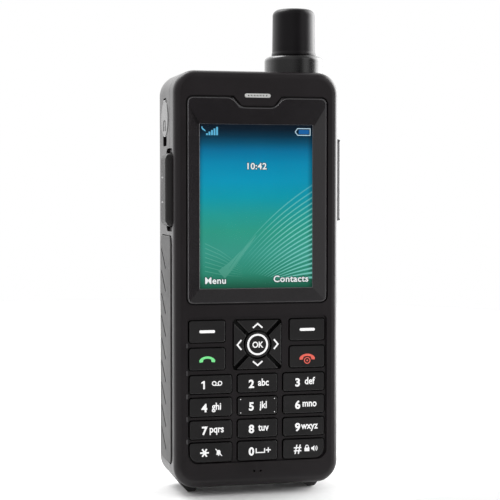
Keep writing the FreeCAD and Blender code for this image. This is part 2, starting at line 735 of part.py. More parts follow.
def display_bezel():
    """Frame whose sides and foot slope in to the picture, with a flatter brow above it."""
    slope_x = OPENING_X - BEZEL_GAP - BEZEL_EDGE_R
    slope_z = OPENING_Z[0] + BEZEL_GAP + BEZEL_EDGE_R
    outer = rectangle((-slope_x, slope_x), (slope_z, MITRE_Z), BEZEL_Y)
    inner = rectangle((-SCREEN_X, SCREEN_X), (SCREEN_Z[0], MITRE_Z), SCREEN_Y)
    slopes = Part.makeLoft([outer, inner], True, True)
    deep = (FRONT_Y - OVER, INNER_FRONT_Y + OVER)
    right = [(SCREEN_X, SCREEN_Z[1]), (slope_x + MITRE_OVER, MITRE_Z + MITRE_OVER),
             (slope_x + MITRE_OVER, MITRE_Z + OVER)]
    left = [(-x, z) for x, z in reversed(right)]
    brow = front_prism(right + left, deep)
    view = block((-SCREEN_X, SCREEN_X), deep, SCREEN_Z)
    keep("display_bezel", bezel_frame().cut([slopes.cut(brow), view]))


def make_display():
    display_bezel()
    keep("display_window", front_plate((-WINDOW_X, WINDOW_X), WINDOW_Z, WINDOW_Y, WINDOW_R))
    keep("lcd_panel", front_plate((-LCD_X, LCD_X), LCD_Z, LCD_Y, LCD_R))
    reach = LCD_GAP + TRAY_WALL
    tray = front_plate(grown((-LCD_X, LCD_X), reach), grown(LCD_Z, reach),
                       (LCD_Y[0], LCD_Y[1] + reach), LCD_R + reach)
    pocket = front_plate(grown((-LCD_X, LCD_X), LCD_GAP), grown(LCD_Z, LCD_GAP),
                         grown(LCD_Y, LCD_GAP), LCD_R)
    keep("lcd_frame", tray.cut(pocket))


def make_earpiece():
    width, height = (size - 2 * EARPIECE_GAP for size in EARPIECE_SIZE)
    bar = front_plate(about(0, width), about(EARPIECE_Z, height), EARPIECE_Y, height / 2 - SLIVER)
    holes = []
    for step in range(EARPIECE_HOLES):
        x = EARPIECE_HOLE_PITCH * (step - (EARPIECE_HOLES - 1) / 2)
        holes.append(rod_y(EARPIECE_HOLE_R, x, (FRONT_Y, INNER_FRONT_Y), EARPIECE_Z))
    keep("earpiece_grille", bar.cut(holes))
    front = INNER_FRONT_Y + EARPIECE_GAP
    speaker = front_plate(about(0, RECEIVER_SIZE[0]), about(EARPIECE_Z, RECEIVER_SIZE[1]),
                          (front, front + RECEIVER_DEPTH), RECEIVER_R)
    vent = front_plate(about(0, VENT_SIZE[0]), about(EARPIECE_Z, VENT_SIZE[1]),
                       (INNER_FRONT_Y, front + VENT_DEPTH), VENT_R)
    keep("earpiece_speaker", speaker.cut(vent))


# --------------------------------------------------------------------- keypad

def key_cap(x, z, radii):
    """A key: cap with softened front edge, retaining lip and plunger."""
    cap = front_plate(x, z, (KEY_FRONT_Y, KEY_BACK_Y), radii)
    cap = cap.makeFillet(KEY_EDGE_R, edges_at_y(cap, KEY_FRONT_Y))
    lip_radii = tuple(r + KEY_LIP / 3 for r in radii)
    lip = front_plate(grown(x, KEY_LIP), grown(z, KEY_LIP), (KEY_BACK_Y, KEY_LIP_Y), lip_radii)
    plunger = rod_y(PLUNGER_R, sum(x) / 2, (KEY_LIP_Y - SLIVER, PLUNGER_Y), sum(z) / 2)
    return cap.fuse([lip, plunger])


def nav_key(angle):
    """One of four direction keys; built pointing up, then turned about the centre."""
    half_x, half_z = NAV_HALF
    slit = NAV_SLIT / math.sqrt(2)
    wedge = [(-half_x + slit, half_z), (-NAV_INNER + slit, NAV_INNER), (NAV_INNER - slit, NAV_INNER),
             (half_x - slit, half_z)]
    cap = front_prism(wedge, (KEY_FRONT_Y, KEY_BACK_Y))
    cap = cap.cut(rod_y(SELECT_HOLE_R, 0, (FRONT_Y - OVER, 0), 0))
    cap = cap.makeFillet(KEY_EDGE_R, edges_at_y(cap, KEY_FRONT_Y))
    lip = block(grown((-half_x, half_x), -NAV_LIP_INSET), (KEY_BACK_Y, KEY_LIP_Y),
                (half_z - NAV_LIP_ROOT, half_z + KEY_LIP))
    plunger = rod_y(PLUNGER_R, 0, (KEY_LIP_Y - SLIVER, PLUNGER_Y), NAV_PLUNGER)
    key = cap.fuse([lip, plunger])
    key.rotate(V(0, 0, 0), V(0, 1, 0), angle)
    key.translate(V(0, 0, NAV_Z))
    return key


def select_key():
    cap = rod_y(SELECT_R, 0, (KEY_FRONT_Y, SELECT_LIP_Y[0]), NAV_Z)
    cap = cap.makeFillet(KEY_EDGE_R, edges_at_y(cap, KEY_FRONT_Y))
    lip = rod_y(SELECT_LIP_R, 0, SELECT_LIP_Y, NAV_Z)
    plunger = rod_y(PLUNGER_R, 0, (SELECT_LIP_Y[1] - SLIVER, PLUNGER_Y), NAV_Z)
    return cap.fuse([lip, plunger])


def key_centres():
    centres = []
    for _, x, z, _ in rectangular_keys():
        centres.append((sum(x) / 2, sum(z) / 2))
    centres.append((0, NAV_Z))
    for dx, dz in ((0, 1), (0, -1), (1, 0), (-1, 0)):
        centres.append((dx * NAV_PLUNGER, NAV_Z + dz * NAV_PLUNGER))
    return centres


def make_keypad():
    for name, x, z, radii in rectangular_keys():
        keep("key_" + name, key_cap(x, z, radii))
    for name, angle in (("up", 0), ("right", 90), ("down", 180), ("left", 270)):
        keep("key_" + name, nav_key(angle))
    keep("key_select", select_key())

    mat = front_plate((-MAT_X, MAT_X), MAT_Z, MAT_Y, MAT_R)
    mat_holes = [rod_y(PLUNGER_R + PLUNGER_GAP, x, grown(MAT_Y, OVER), z) for x, z in key_centres()]
    post_y = (MAT_Y[0] - OVER, KEYPAD_BOARD_Y[1] + OVER)
    post_holes = [rod_y(POST_FRONT_R + POST_CLEARANCE, x, post_y, z) for x, z in POSTS_UNDER_LID]
    keep("keypad_mat", mat.cut(mat_holes + post_holes))

    domes = []
    for x, z in key_centres():
        domes.append(Part.makeCone(DOME_R, DOME_TOP_R, DOME_RISE, V(x, KEYPAD_BOARD_Y[0], z), V(0, -1, 0)))
    keep("key_domes", Part.makeCompound(domes))

    board = front_plate((-MAT_X, MAT_X), KEYPAD_BOARD_Z, KEYPAD_BOARD_Y, MAT_R)
    keep("keypad_board", board.cut(post_holes))


# --------------------------------------------------------------- electronics

def main_board():
    board = front_plate((-BOARD_X, BOARD_X), BOARD_Z, MAIN_BOARD_Y, BOARD_R)
    y = grown(MAIN_BOARD_Y, OVER)
    cuts = [block((BOARD_NOTCH_X, ANTENNA_X + MAST_R), y, (BOARD_NOTCH_Z, SKY)),
            block((BOARD_NOTCH_X, FAR), y, (BOARD_SHORT_Z, SKY))]
    for x, z in POSTS_UNDER_LID + POSTS_ABOVE_LID:
        cuts.append(rod_y(POST_R + POST_CLEARANCE, x, y, z))
    keep("main_board", board.cut(cuts))


def shield_cans():
    """Three sheet-metal screens over the radio, processor and power circuits."""
    foot, top = MAIN_BOARD_Y[1], MAIN_BOARD_Y[1] + SHIELD_HEIGHT
    cans = []
    for x, z in SHIELD_CANS:
        can = front_plate(x, z, (foot, top), SHIELD_R)
        hollow = front_plate(grown(x, -SHIELD_SHEET), grown(z, -SHIELD_SHEET),
                             (foot - OVER, top - SHIELD_SHEET), SHIELD_R - SHIELD_SHEET)
        cans.append(can.cut(hollow))
    keep("shield_cans", Part.makeCompound(cans))


def audio_jack():
    end = JACK_BODY_X + JACK_BODY_LENGTH
    body = block((JACK_BODY_X, end), (MAIN_BOARD_Y[1], JACK_Y + JACK_BODY_HALF),
                 about(JACK_Z, 2 * JACK_BODY_HALF))
    nose = rod_x(JACK_NOSE_R, (-HALF_W + JACK_NOSE_SET_BACK, JACK_BODY_X + BURIED), JACK_Y, JACK_Z)
    bore = rod_x(JACK_BORE_R, (-HALF_W, end - JACK_BODY_FLOOR), JACK_Y, JACK_Z)
    keep("audio_jack", body.fuse(nose).cut(bore))


def usb_socket():
    sheet = (USB_SHELL[0] - USB_MOUTH[0]) / 2
    shell = side_plate(about(USB_Y, USB_SHELL[0]), about(USB_Z, USB_SHELL[1]), USB_X, 2 * sheet)
    mouth = side_plate(about(USB_Y, USB_MOUTH[0]), about(USB_Z, USB_MOUTH[1]),
                       (USB_X[0] + 2 * sheet, USB_X[1] + OVER), sheet)
    tongue = block((USB_X[0] + sheet, USB_X[1] - OVER), about(USB_Y, USB_TONGUE[0]),
                   about(USB_Z, USB_TONGUE[1]))
    keep("usb_socket", shell.cut(mouth).fuse(tongue))


def battery_connector():
    body = block((-CONNECTOR_X, CONNECTOR_X), (MAIN_BOARD_Y[1], BAY_FLOOR_Y[0] - SLIVER),
                 about(CONTACT_Z, CONNECTOR_HEIGHT))
    pins = contact_rods(CONTACT_R, (BAY_FLOOR_Y[0] - OVER, BAY_FLOOR_Y[1] + CONTACT_PROUD))
    keep("battery_connector", body.fuse(pins))


def loudspeaker():
    back = INNER_BACK_Y
    driver = rod_y(LOUDSPEAKER_R, LOUDSPEAKER_X, (back - LOUDSPEAKER_DEPTH, back), LOUDSPEAKER_Z)
    cone = rod_y(LOUDSPEAKER_CONE_R, LOUDSPEAKER_X, (back - LOUDSPEAKER_DISH, back + OVER), LOUDSPEAKER_Z)
    keep("loudspeaker", driver.cut(cone))


def sim_parts():
    """Open-topped holder under the battery, with a finger slot, and the card in it."""
    floor, top = BAY_FLOOR_Y[0], BAY_FLOOR_Y[1] - SIM_BELOW_FLOOR
    holder = block(SIM_X, (floor, top), SIM_Z)
    slot = block(grown(SIM_X, -SIM_WALL), (floor + SIM_SHEET, top - SIM_SHEET), (SIM_Z[0] + SIM_WALL, SKY))
    finger = front_plate(grown(SIM_X, -SIM_FINGER_INSET), (SIM_FINGER_Z, SIM_Z[1] + 2 * SIM_FINGER_R),
                         (top - SIM_SHEET - SLIVER, top + OVER), SIM_FINGER_R)
    keep("sim_holder", holder.cut([slot, finger]))
    card = front_plate(about(sum(SIM_X) / 2, SIM_CARD[0]), about(sum(SIM_Z) / 2, SIM_CARD[1]),
                       (floor + SIM_SHEET + SLIVER, floor + SIM_SHEET + SLIVER + SIM_CARD[2]), SIM_CARD_R)
    keep("sim_card", card)


def make_electronics():
    main_board()
    shield_cans()
    audio_jack()
    usb_socket()
    battery_connector()
    loudspeaker()
    sim_parts()
    microphone_x = sum(MICROPHONE_HOLES_X) / len(MICROPHONE_HOLES_X)
    microphone_y = (INNER_FRONT_Y, INNER_FRONT_Y + MICROPHONE_DEPTH)
    keep("microphone", rod_y(MICROPHONE_R, microphone_x, microphone_y, MICROPHONE_Z))


# -------------------------------------------------------------------- battery

def battery_seal():
    """Rubber ring round the mouth of the battery bay."""
    width, height = SEAL_SECTION
    y = (LID_SEAT_Y, LID_SEAT_Y + height)
    x = grown((-BAY_X, BAY_X), SEAL_FROM_BAY)
    z = grown(BAY_Z, SEAL_FROM_BAY)
    ring = front_plate(grown(x, width), grown(z, width), y, SEAL_R + width)
    keep("battery_seal", ring.cut(front_plate(x, z, grown(y, OVER), SEAL_R)))


def make_battery():
    pack = front_plate(grown((-BAY_X, BAY_X), -PACK_GAP), grown(BAY_Z, -PACK_GAP),
                       (BAY_FLOOR_Y[1] + PACK_GAP, LID_SEAT_Y - PACK_GAP), PACK_R)
    contacts = block((-CONNECTOR_X, CONNECTOR_X), (0, BAY_FLOOR_Y[1] + PACK_GAP + CONTACT_PROUD),
                     about(CONTACT_Z, PACK_CONTACT_HEIGHT))
    keep("battery_pack", pack.cut(contacts))
    battery_seal()
    lid = front_plate(grown((-LID_RECESS_X, LID_RECESS_X), -LID_GAP), grown(LID_RECESS_Z, -LID_GAP),
                      (BACK_Y - LID_THICK, BACK_Y), LID_RECESS_R - LID_GAP)
    lid = lid.makeFillet(LID_EDGE_R, edges_at_y(lid, BACK_Y))
    keep("battery_cover", lid.cut(thumb_scoop()))


# -------------------------------------------------------------------- antenna

def on_antenna(r, z):
    """A point of a profile, r from the antenna's axis."""
    return V(ANTENNA_X + r, 0, z)


def turned(profile):
    """Solid of revolution about the antenna's axis, from a closed edge list."""
    return Part.Face(Part.Wire(profile)).revolve(V(ANTENNA_X, 0, 0), V(0, 0, 1), 360)


def lines(points):
    edges = []
    for a, b in zip(points, points[1:]):
        edges.append(Part.makeLine(a, b))
    return edges


def rounded(start, corner, end):
    """Arc from start to end that rounds off the corner between them."""
    share = 1 - math.cos(math.radians(45))
    middle = corner + (start + end - corner * 2) * share
    return Part.Arc(start, middle, end).toShape()


def antenna_collar():
    """Fixed ring at the antenna's foot, with a skirt that sits down over the case's corner."""
    bore_r = GUIDE_BORE_R + COLLAR_BORE_GAP
    wall_top = on_antenna(COLLAR_R, COLLAR_TOP - COLLAR_EDGE_R)
    rim = on_antenna(COLLAR_R - COLLAR_EDGE_R, COLLAR_TOP)
    inside = on_antenna(bore_r, COLLAR_TOP)
    profile = lines([inside, on_antenna(bore_r, COLLAR_FOOT), on_antenna(COLLAR_R, COLLAR_FOOT), wall_top])
    profile.append(rounded(wall_top, on_antenna(COLLAR_R, COLLAR_TOP), rim))
    profile += lines([rim, inside])
    keep("antenna_collar", turned(profile).cut(case_outer()))


def antenna_guide():
    tube = rod_z(GUIDE_R, ANTENNA_X, 0, (GUIDE_BOTTOM, TOP_Z))
    bore = rod_z(GUIDE_BORE_R, ANTENNA_X, 0, (GUIDE_BOTTOM - OVER, TOP_Z + OVER))
    keep("antenna_guide", tube.cut(bore).common(case_outer()))


def antenna_radome():
    """Hollow mast under a domed cap; the mast slides in the guide."""
    hollow_r = MAST_R - MAST_WALL
    foot_z = MAST_BOTTOM + CONTACT_RING_HEIGHT
    roof_z = ANTENNA_TOP - CAP_ROOF
    neck_r = CAP_R - CAP_DRAFT
    shoulder = on_antenna(neck_r, ANTENNA_TOP - CAP_DOME_RISE - CAP_EDGE_R)
    dome_r = neck_r - CAP_EDGE_R
    dome_foot = on_antenna(dome_r, ANTENNA_TOP - CAP_DOME_RISE)
    sphere_r = (dome_r ** 2 + CAP_DOME_RISE ** 2) / (2 * CAP_DOME_RISE)
    halfway_z = ANTENNA_TOP - sphere_r + math.sqrt(sphere_r ** 2 - (dome_r / 2) ** 2)
    tip = on_antenna(0, ANTENNA_TOP)
    outside = [on_antenna(hollow_r, foot_z), on_antenna(MAST_R, foot_z), on_antenna(MAST_R, CAP_BOTTOM),
               on_antenna(CAP_R + CAP_LIP, CAP_BOTTOM), on_antenna(CAP_R + CAP_LIP, CAP_LIP_Z[0]),
               on_antenna(CAP_R, CAP_LIP_Z[1]), shoulder]
    profile = lines(outside)
    profile.append(rounded(shoulder, on_antenna(neck_r, ANTENNA_TOP - CAP_DOME_RISE), dome_foot))
    profile.append(Part.Arc(dome_foot, on_antenna(dome_r / 2, halfway_z), tip).toShape())
    profile += lines([tip, on_antenna(0, roof_z), on_antenna(hollow_r, roof_z), outside[0]])
    keep("antenna_radome", turned(profile))


def antenna_helix(low_z):
    """Radiating coil of straight runs round the core."""
    points = []
    for step in range(HELIX_TURNS * HELIX_SIDES + 1):
        turns = step / HELIX_SIDES
        angle = 2 * math.pi * turns
        points.append(V(ANTENNA_X + HELIX_R * math.cos(angle), HELIX_R * math.sin(angle),
                        low_z + HELIX_PITCH * turns))
    section = Part.Wire(Part.makeCircle(HELIX_WIRE_R, points[0], points[1] - points[0]))
    keep("antenna_helix", Part.makePolygon(points).makePipeShell([section], True, False, 1))


def make_antenna():
    antenna_collar()
    antenna_guide()
    antenna_radome()
    ring_z = (MAST_BOTTOM, MAST_BOTTOM + CONTACT_RING_HEIGHT)
    keep("antenna_contact_ring", rod_z(MAST_R, ANTENNA_X, 0, ring_z))
    core_z = (ring_z[1] + CORE_GAP, ANTENNA_TOP - CAP_ROOF - CORE_GAP)
    keep("antenna_core", rod_z(CORE_R, ANTENNA_X, 0, core_z))
    antenna_helix(core_z[0] + HELIX_LIFT)


# ---------------------------------------------------------------------- sides

def grip_pad():
    """Right-hand rubber grip with slanting grooves."""
    pad = side_plate(GRIP_Y, GRIP_Z, (HALF_W - GRIP_POCKET, HALF_W + GRIP_PROUD), GRIP_PAD_R)
    pad = pad.makeFillet(GRIP_EDGE_R, edges_at_x(pad, HALF_W + GRIP_PROUD))
    grooves = []
    length = math.hypot(GROOVE_Y[1] - GROOVE_Y[0], GROOVE_RISE)
    slant = math.atan2(GROOVE_Y[1] - GROOVE_Y[0], GROOVE_RISE)
    for step in range(GROOVES):
        groove = side_plate(about(0, GROOVE_WIDTH), (0, length), (HALF_W - GROOVE_BELOW, HALF_W + OVER),
                            GROOVE_WIDTH / 2 - SLIVER)
        groove.rotate(V(0, 0, 0), V(1, 0, 0), -math.degrees(slant))
        groove.translate(V(0, GROOVE_Y[0], GROOVE_FIRST_Z + GROOVE_PITCH * step))
        grooves.append(groove)
    return pad.cut(grooves)


def bar_section(proud_x, inner_x, crown):
    """Level section of a side bar, lying at Z = 0; crown is how far back its front rounding runs."""
    y0, y1 = SIDE_KEY_Y
    root_x = HALF_W + BAR_ROOT
    flank = V(max(root_x, proud_x - crown), y0, 0)
    front = V(proud_x, y0 + crown, 0)
    back = V(proud_x, y1 - BAR_BACK_RUN, 0)
    root = V(root_x, y1, 0)
    edges = lines([root, V(inner_x, y1, 0), V(inner_x, y0, 0), flank])
    edges.append(rounded(flank, V(proud_x, y0, 0), front))
    edges += lines([front, back])
    edges.append(rounded(back, V(proud_x, y1, 0), root))
    return Part.Face(Part.Wire(edges))


def bar_profile(z, proud_x, inner_x):
    """Outline of a side bar seen from the front, rounded off at both ends."""
    shoulder_x = HALF_W + BAR_END_ROOT
    low = [V(inner_x, 0, z[0]), V(shoulder_x, 0, z[0]), V(proud_x, 0, z[0] + BAR_END_RUN)]
    high = [V(proud_x, 0, z[1] - BAR_END_RUN), V(shoulder_x, 0, z[1]), V(inner_x, 0, z[1])]
    edges = lines([high[2], low[0], low[1]])
    edges.append(rounded(low[1], V(proud_x, 0, z[0]), low[2]))
    edges += lines([low[2], high[0]])
    edges.append(rounded(high[0], V(proud_x, 0, z[1]), high[1]))
    edges += lines([high[1], high[2]])
    return Part.Face(Part.Wire(edges))


def side_bar(z, inner_x, crown):
    """Right-hand bar with rounded ends, standing SIDE_PROUD out of the case."""
    proud_x = HALF_W + SIDE_PROUD
    bar = bar_section(proud_x, inner_x, crown).extrude(V(0, 0, z[1] - z[0]))
    bar.translate(V(0, 0, z[0]))
    ends = side_plate(SIDE_KEY_Y, z, (inner_x, proud_x), SIDE_KEY_R - SIDE_KEY_GAP)
    profile = bar_profile(z, proud_x, inner_x).extrude(V(0, FAR, 0))
    profile.translate(V(0, -FAR / 2, 0))
    return bar.common(ends).common(profile)


def volume_key():
    """Left-hand rocker with a flange behind the case wall."""
    flange_x = INNER_X - VOLUME_FLANGE_DEEP
    key = side_bar(VOLUME_Z, flange_x, VOLUME_CROWN)
    flange = side_plate(grown(SIDE_KEY_Y, VOLUME_FLANGE[0]), grown(VOLUME_Z, VOLUME_FLANGE[1]),
                        (flange_x, flange_x + VOLUME_FLANGE_THICK), VOLUME_FLANGE_R)
    keep("volume_key", mirror_x(key.fuse(flange)))


def jack_cover():
    """Round rubber plug with a hinge tab and pin at its top."""
    face_x = -HALF_W - JACK_COVER_PROUD
    disc = rod_x(JACK_COVER_R, (face_x, -HALF_W + JACK_COVER_DEEP), JACK_Y, JACK_Z)
    disc = disc.makeFillet(JACK_COVER_EDGE_R, edges_at_x(disc, face_x))
    hinge_z = JACK_Z + JACK_COVER_R
    tab = block((-HALF_W, -HALF_W + JACK_TAB_DEEP), about(JACK_Y, JACK_TAB_WIDTH),
                (hinge_z - JACK_TAB_HEIGHT, hinge_z))
    pin_foot = V(-HALF_W + JACK_PIN_DEEP, JACK_Y - JACK_TAB_WIDTH / 2, hinge_z)
    pin = Part.makeCylinder(JACK_PIN_R, JACK_TAB_WIDTH, pin_foot, V(0, 1, 0))
    keep("jack_cover", disc.fuse([tab, pin]))


def make_sides():
    pad = grip_pad()
    keep("grip_right", pad)
    keep("grip_left", mirror_x(pad))
    volume_key()
    keep("port_cover", side_bar(PORT_COVER_Z, HALF_W - PORT_COVER_DEEP, PORT_CROWN))
    jack_cover()


make_case()
housing_seal()
housing_screws()
make_display()
make_earpiece()
make_keypad()
make_electronics()
make_battery()
make_antenna()
make_sides()

os.makedirs("parts", exist_ok=True)
for node, shape in PARTS.items():
    shape.exportStep("parts/" + node + ".step")
print(len(PARTS), "nodes")
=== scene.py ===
import json
import math

import bmesh
import bpy
from mathutils import Matrix, Vector


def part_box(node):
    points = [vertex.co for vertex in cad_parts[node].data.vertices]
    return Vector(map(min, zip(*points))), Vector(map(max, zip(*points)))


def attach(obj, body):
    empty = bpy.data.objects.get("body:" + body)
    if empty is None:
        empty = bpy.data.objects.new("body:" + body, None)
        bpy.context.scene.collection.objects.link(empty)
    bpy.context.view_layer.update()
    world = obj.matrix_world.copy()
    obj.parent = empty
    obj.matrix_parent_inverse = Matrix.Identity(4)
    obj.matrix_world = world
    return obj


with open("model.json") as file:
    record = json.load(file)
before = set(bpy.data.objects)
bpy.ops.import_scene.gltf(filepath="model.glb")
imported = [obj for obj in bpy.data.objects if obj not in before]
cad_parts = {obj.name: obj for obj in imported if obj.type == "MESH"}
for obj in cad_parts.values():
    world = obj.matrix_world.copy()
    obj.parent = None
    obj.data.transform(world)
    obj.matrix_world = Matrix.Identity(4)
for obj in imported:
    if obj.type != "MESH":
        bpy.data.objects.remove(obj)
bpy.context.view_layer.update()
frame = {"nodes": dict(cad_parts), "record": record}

# Everything below is written in millimetres in the CAD frame: X to the right seen from the front,
# -Y towards the display side, +Z up. Pieces are scaled to metres as they are made.
MM = 0.001
PRINT = 0.02             # thickness of printed ink
FRONT, LEFT, BACK = 0, -90, 180      # the way a flat print faces, in degrees about Z
SAME_PLACE = 1e-5        # points closer than this are merged
MIX_FACTOR = 0                       # sockets of a mix node
MIX_FIRST, MIX_SECOND, MIX_COLOUR = 6, 7, 2      # when it mixes colours
MIX_LOW, MIX_HIGH, MIX_NUMBER = 2, 3, 0          # when it mixes numbers
RANGE_SOCKETS = ("From Min", "From Max", "To Min", "To Max")
NOISE_ROUGHNESS = 0.55


# ---------------------------------------------------------------------- colour and material helpers

def linear(red, green, blue):
    """Display values from 0 to 255 as a linear colour."""
    channels = []
    for value in (red, green, blue):
        share = value / 255
        channels.append(share / 12.92 if share <= 0.04045 else ((share + 0.055) / 1.055) ** 2.4)
    return (*channels, 1.0)


def grey(value):
    """A neutral colour from one display value."""
    return linear(value, value, value)


def toned(colour, share):
    """A colour made darker or lighter by a share."""
    return (*(channel * share for channel in colour[:3]), 1.0)


class Nodes:
    """A material's node tree, with short calls for the nodes that are used over and over."""

    def __init__(self, name):
        self.material = bpy.data.materials.new(name)
        self.material.use_nodes = True
        self.tree = self.material.node_tree
        self.shader = self.tree.nodes["Principled BSDF"]
        coordinates = self.tree.nodes.new("ShaderNodeTexCoord")
        self.place = coordinates.outputs["Object"]

    def link(self, output, socket):
        self.tree.links.new(output, socket)

    def set(self, **values):
        for name, value in values.items():
            self.shader.inputs[name.replace("_", " ")].default_value = value

    def stretched(self, x, y, z):
        """Coordinates scaled by axis: a texture is drawn out along an axis whose number is small."""
        mapping = self.tree.nodes.new("ShaderNodeMapping")
        mapping.inputs["Scale"].default_value = (x, y, z)
        self.link(self.place, mapping.inputs["Vector"])
        return mapping.outputs["Vector"]

    def noise(self, size, detail=4.0, vector=None):
        """Noise whose blobs are about size millimetres across."""
        node = self.tree.nodes.new("ShaderNodeTexNoise")
        node.inputs["Scale"].default_value = 1 / (size * MM)
        node.inputs["Detail"].default_value = detail
        node.inputs["Roughness"].default_value = NOISE_ROUGHNESS
        self.link(vector or self.place, node.inputs["Vector"])
        return node.outputs["Fac"]

    def cells(self, size):
        """Distance to the edges of cells about size millimetres across."""
        node = self.tree.nodes.new("ShaderNodeTexVoronoi")
        node.feature = "DISTANCE_TO_EDGE"
        node.inputs["Scale"].default_value = 1 / (size * MM)
        self.link(self.place, node.inputs["Vector"])
        return node.outputs["Distance"]

    def span(self, value, low, high, to_low, to_high, smooth=False):
        node = self.tree.nodes.new("ShaderNodeMapRange")
        node.interpolation_type = "SMOOTHSTEP" if smooth else "LINEAR"
        for socket, number in zip(RANGE_SOCKETS, (low, high, to_low, to_high)):
            node.inputs[socket].default_value = number
        self.link(value, node.inputs["Value"])
        return node.outputs["Result"]

    def ramp(self, value, stops):
        node = self.tree.nodes.new("ShaderNodeValToRGB")
        band = node.color_ramp
        while len(band.elements) < len(stops):
            band.elements.new(0.5)
        for element, (position, colour) in zip(band.elements, stops):
            element.position = position
            element.color = colour
        self.link(value, node.inputs["Fac"])
        return node.outputs["Color"]

    def axis(self, letter):
        node = self.tree.nodes.new("ShaderNodeSeparateXYZ")
        self.link(self.place, node.inputs["Vector"])
        return node.outputs[letter]

    def math(self, kind, first, second):
        node = self.tree.nodes.new("ShaderNodeMath")
        node.operation = kind
        for socket, value in zip(node.inputs, (first, second)):
            if isinstance(value, (int, float)):
                socket.default_value = value
            else:
                self.link(value, socket)
        return node.outputs["Value"]

    def mix(self, factor, first, second, blend="MIX"):
        node = self.tree.nodes.new("ShaderNodeMix")
        node.data_type = "RGBA"
        node.blend_type = blend
        self.fill(node.inputs[MIX_FACTOR], factor)
        self.fill(node.inputs[MIX_FIRST], first)
        self.fill(node.inputs[MIX_SECOND], second)
        return node.outputs[MIX_COLOUR]

    def fill(self, socket, value):
        if isinstance(value, bpy.types.NodeSocket):
            self.link(value, socket)
        else:
            socket.default_value = value

    def bump(self, height, strength, depth=0.02):
        """Surface relief; depth is in millimetres."""
        node = self.tree.nodes.new("ShaderNodeBump")
        node.inputs["Strength"].default_value = strength
        node.inputs["Distance"].default_value = depth * MM
        self.link(height, node.inputs["Height"])
        self.link(node.outputs["Normal"], self.shader.inputs["Normal"])


HANDLING = 14            # size of the patches that handling leaves in the gloss
TARNISH = 6              # size of the dull patches on metal


def moulded(name, colour, rough, rough_spread=0.06, grain=0.22, relief=0.25, mottle=0.18, **sockets):
    """Moulded plastic or rubber: fine grain, broad handling marks in the gloss, slight colour drift."""
    made = Nodes(name)
    fine = made.noise(grain)
    broad = made.noise(HANDLING, detail=3)
    darker = toned(colour, 1 - mottle)
    lighter = toned(colour, 1 + mottle)
    mixed = made.math("ADD", made.math("MULTIPLY", fine, 0.5), made.math("MULTIPLY", broad, 0.5))
    made.link(made.ramp(mixed, [(0.35, darker), (0.65, lighter)]), made.shader.inputs["Base Color"])
    roughness = made.span(mixed, 0.3, 0.7, rough - rough_spread, rough + rough_spread)
    made.link(roughness, made.shader.inputs["Roughness"])
    made.bump(fine, relief)
    made.set(**sockets)
    return made.material


def metal(name, colour, rough, brush=(1, 1, 12), brush_size=0.6, relief=0.12):
    """Metal with a fine texture. A large number in brush packs its marks closely along that axis."""
    made = Nodes(name)
    marks = made.noise(brush_size, detail=5, vector=made.stretched(*brush))
    tarnish = made.noise(TARNISH, detail=3)
    stops = [(0.3, toned(colour, 0.72)), (0.7, colour)]
    made.link(made.ramp(tarnish, stops), made.shader.inputs["Base Color"])
    made.link(made.span(marks, 0.3, 0.7, rough - 0.08, rough + 0.1), made.shader.inputs["Roughness"])
    made.bump(marks, relief)
    made.set(Metallic=1.0)
    return made.material


def window_glass():
    """Clear glass with faint smears."""
    made = Nodes("window_glass")
    smears = made.noise(9, detail=4)
    made.link(made.span(smears, 0.4, 0.75, 0.0, 0.035), made.shader.inputs["Roughness"])
    made.link(made.ramp(smears, [(0.2, (0.96, 0.98, 1.0, 1.0)), (0.8, (1.0, 1.0, 1.0, 1.0))]),
              made.shader.inputs["Base Color"])
    made.bump(smears, 0.02)
    made.set(Transmission_Weight=1.0, IOR=1.46, Specular_IOR_Level=0.12)
    return made.material


MASK_OVER_TRACK = (0.03, 0.22, 0.09, 1.0)
MASK_OVER_BOARD = (0.008, 0.09, 0.04, 1.0)
TRACK_PITCH = 1.6


def circuit_board():
    """Green solder mask, paler where it covers a track."""
    made = Nodes("circuit_board")
    tracks = made.cells(TRACK_PITCH)
    stops = [(0.0, MASK_OVER_TRACK), (0.12, MASK_OVER_TRACK), (0.16, MASK_OVER_BOARD)]
    made.link(made.ramp(tracks, stops), made.shader.inputs["Base Color"])
    made.link(made.span(made.noise(2), 0.3, 0.7, 0.25, 0.4), made.shader.inputs["Roughness"])
    made.bump(tracks, 0.3)
    return made.material


def battery_wrap():
    """Dark shrink wrap with creases drawn out along the height of the phone."""
    made = Nodes("battery_wrap")
    creases = made.noise(7, detail=5, vector=made.stretched(1, 1, 0.25))
    made.link(made.ramp(creases, [(0.3, grey(46)), (0.7, grey(62))]), made.shader.inputs["Base Color"])
    made.link(made.span(creases, 0.3, 0.7, 0.28, 0.45), made.shader.inputs["Roughness"])
    made.bump(creases, 0.35, 0.1)
    return made.material


def printed(name, colour, glow=0.0):
    """Silk-screened ink with slightly uneven cover. Glow makes the ink give off its own colour: painted
    light that keeps the print bright.
    """
    made = Nodes(name)
    cover = made.noise(0.35, detail=3)
    stops = [(0.35, toned(colour, 0.86)), (0.6, colour)]
    made.link(made.ramp(cover, stops), made.shader.inputs["Base Color"])
    made.link(made.span(cover, 0.3, 0.7, 0.45, 0.65), made.shader.inputs["Roughness"])
    made.bump(cover, 0.1, 0.01)
    # painted light: the print glows in its own colour
    made.set(Emission_Color=colour, Emission_Strength=glow)
    return made.material


# ---------------------------------------------------------------------- the lit display

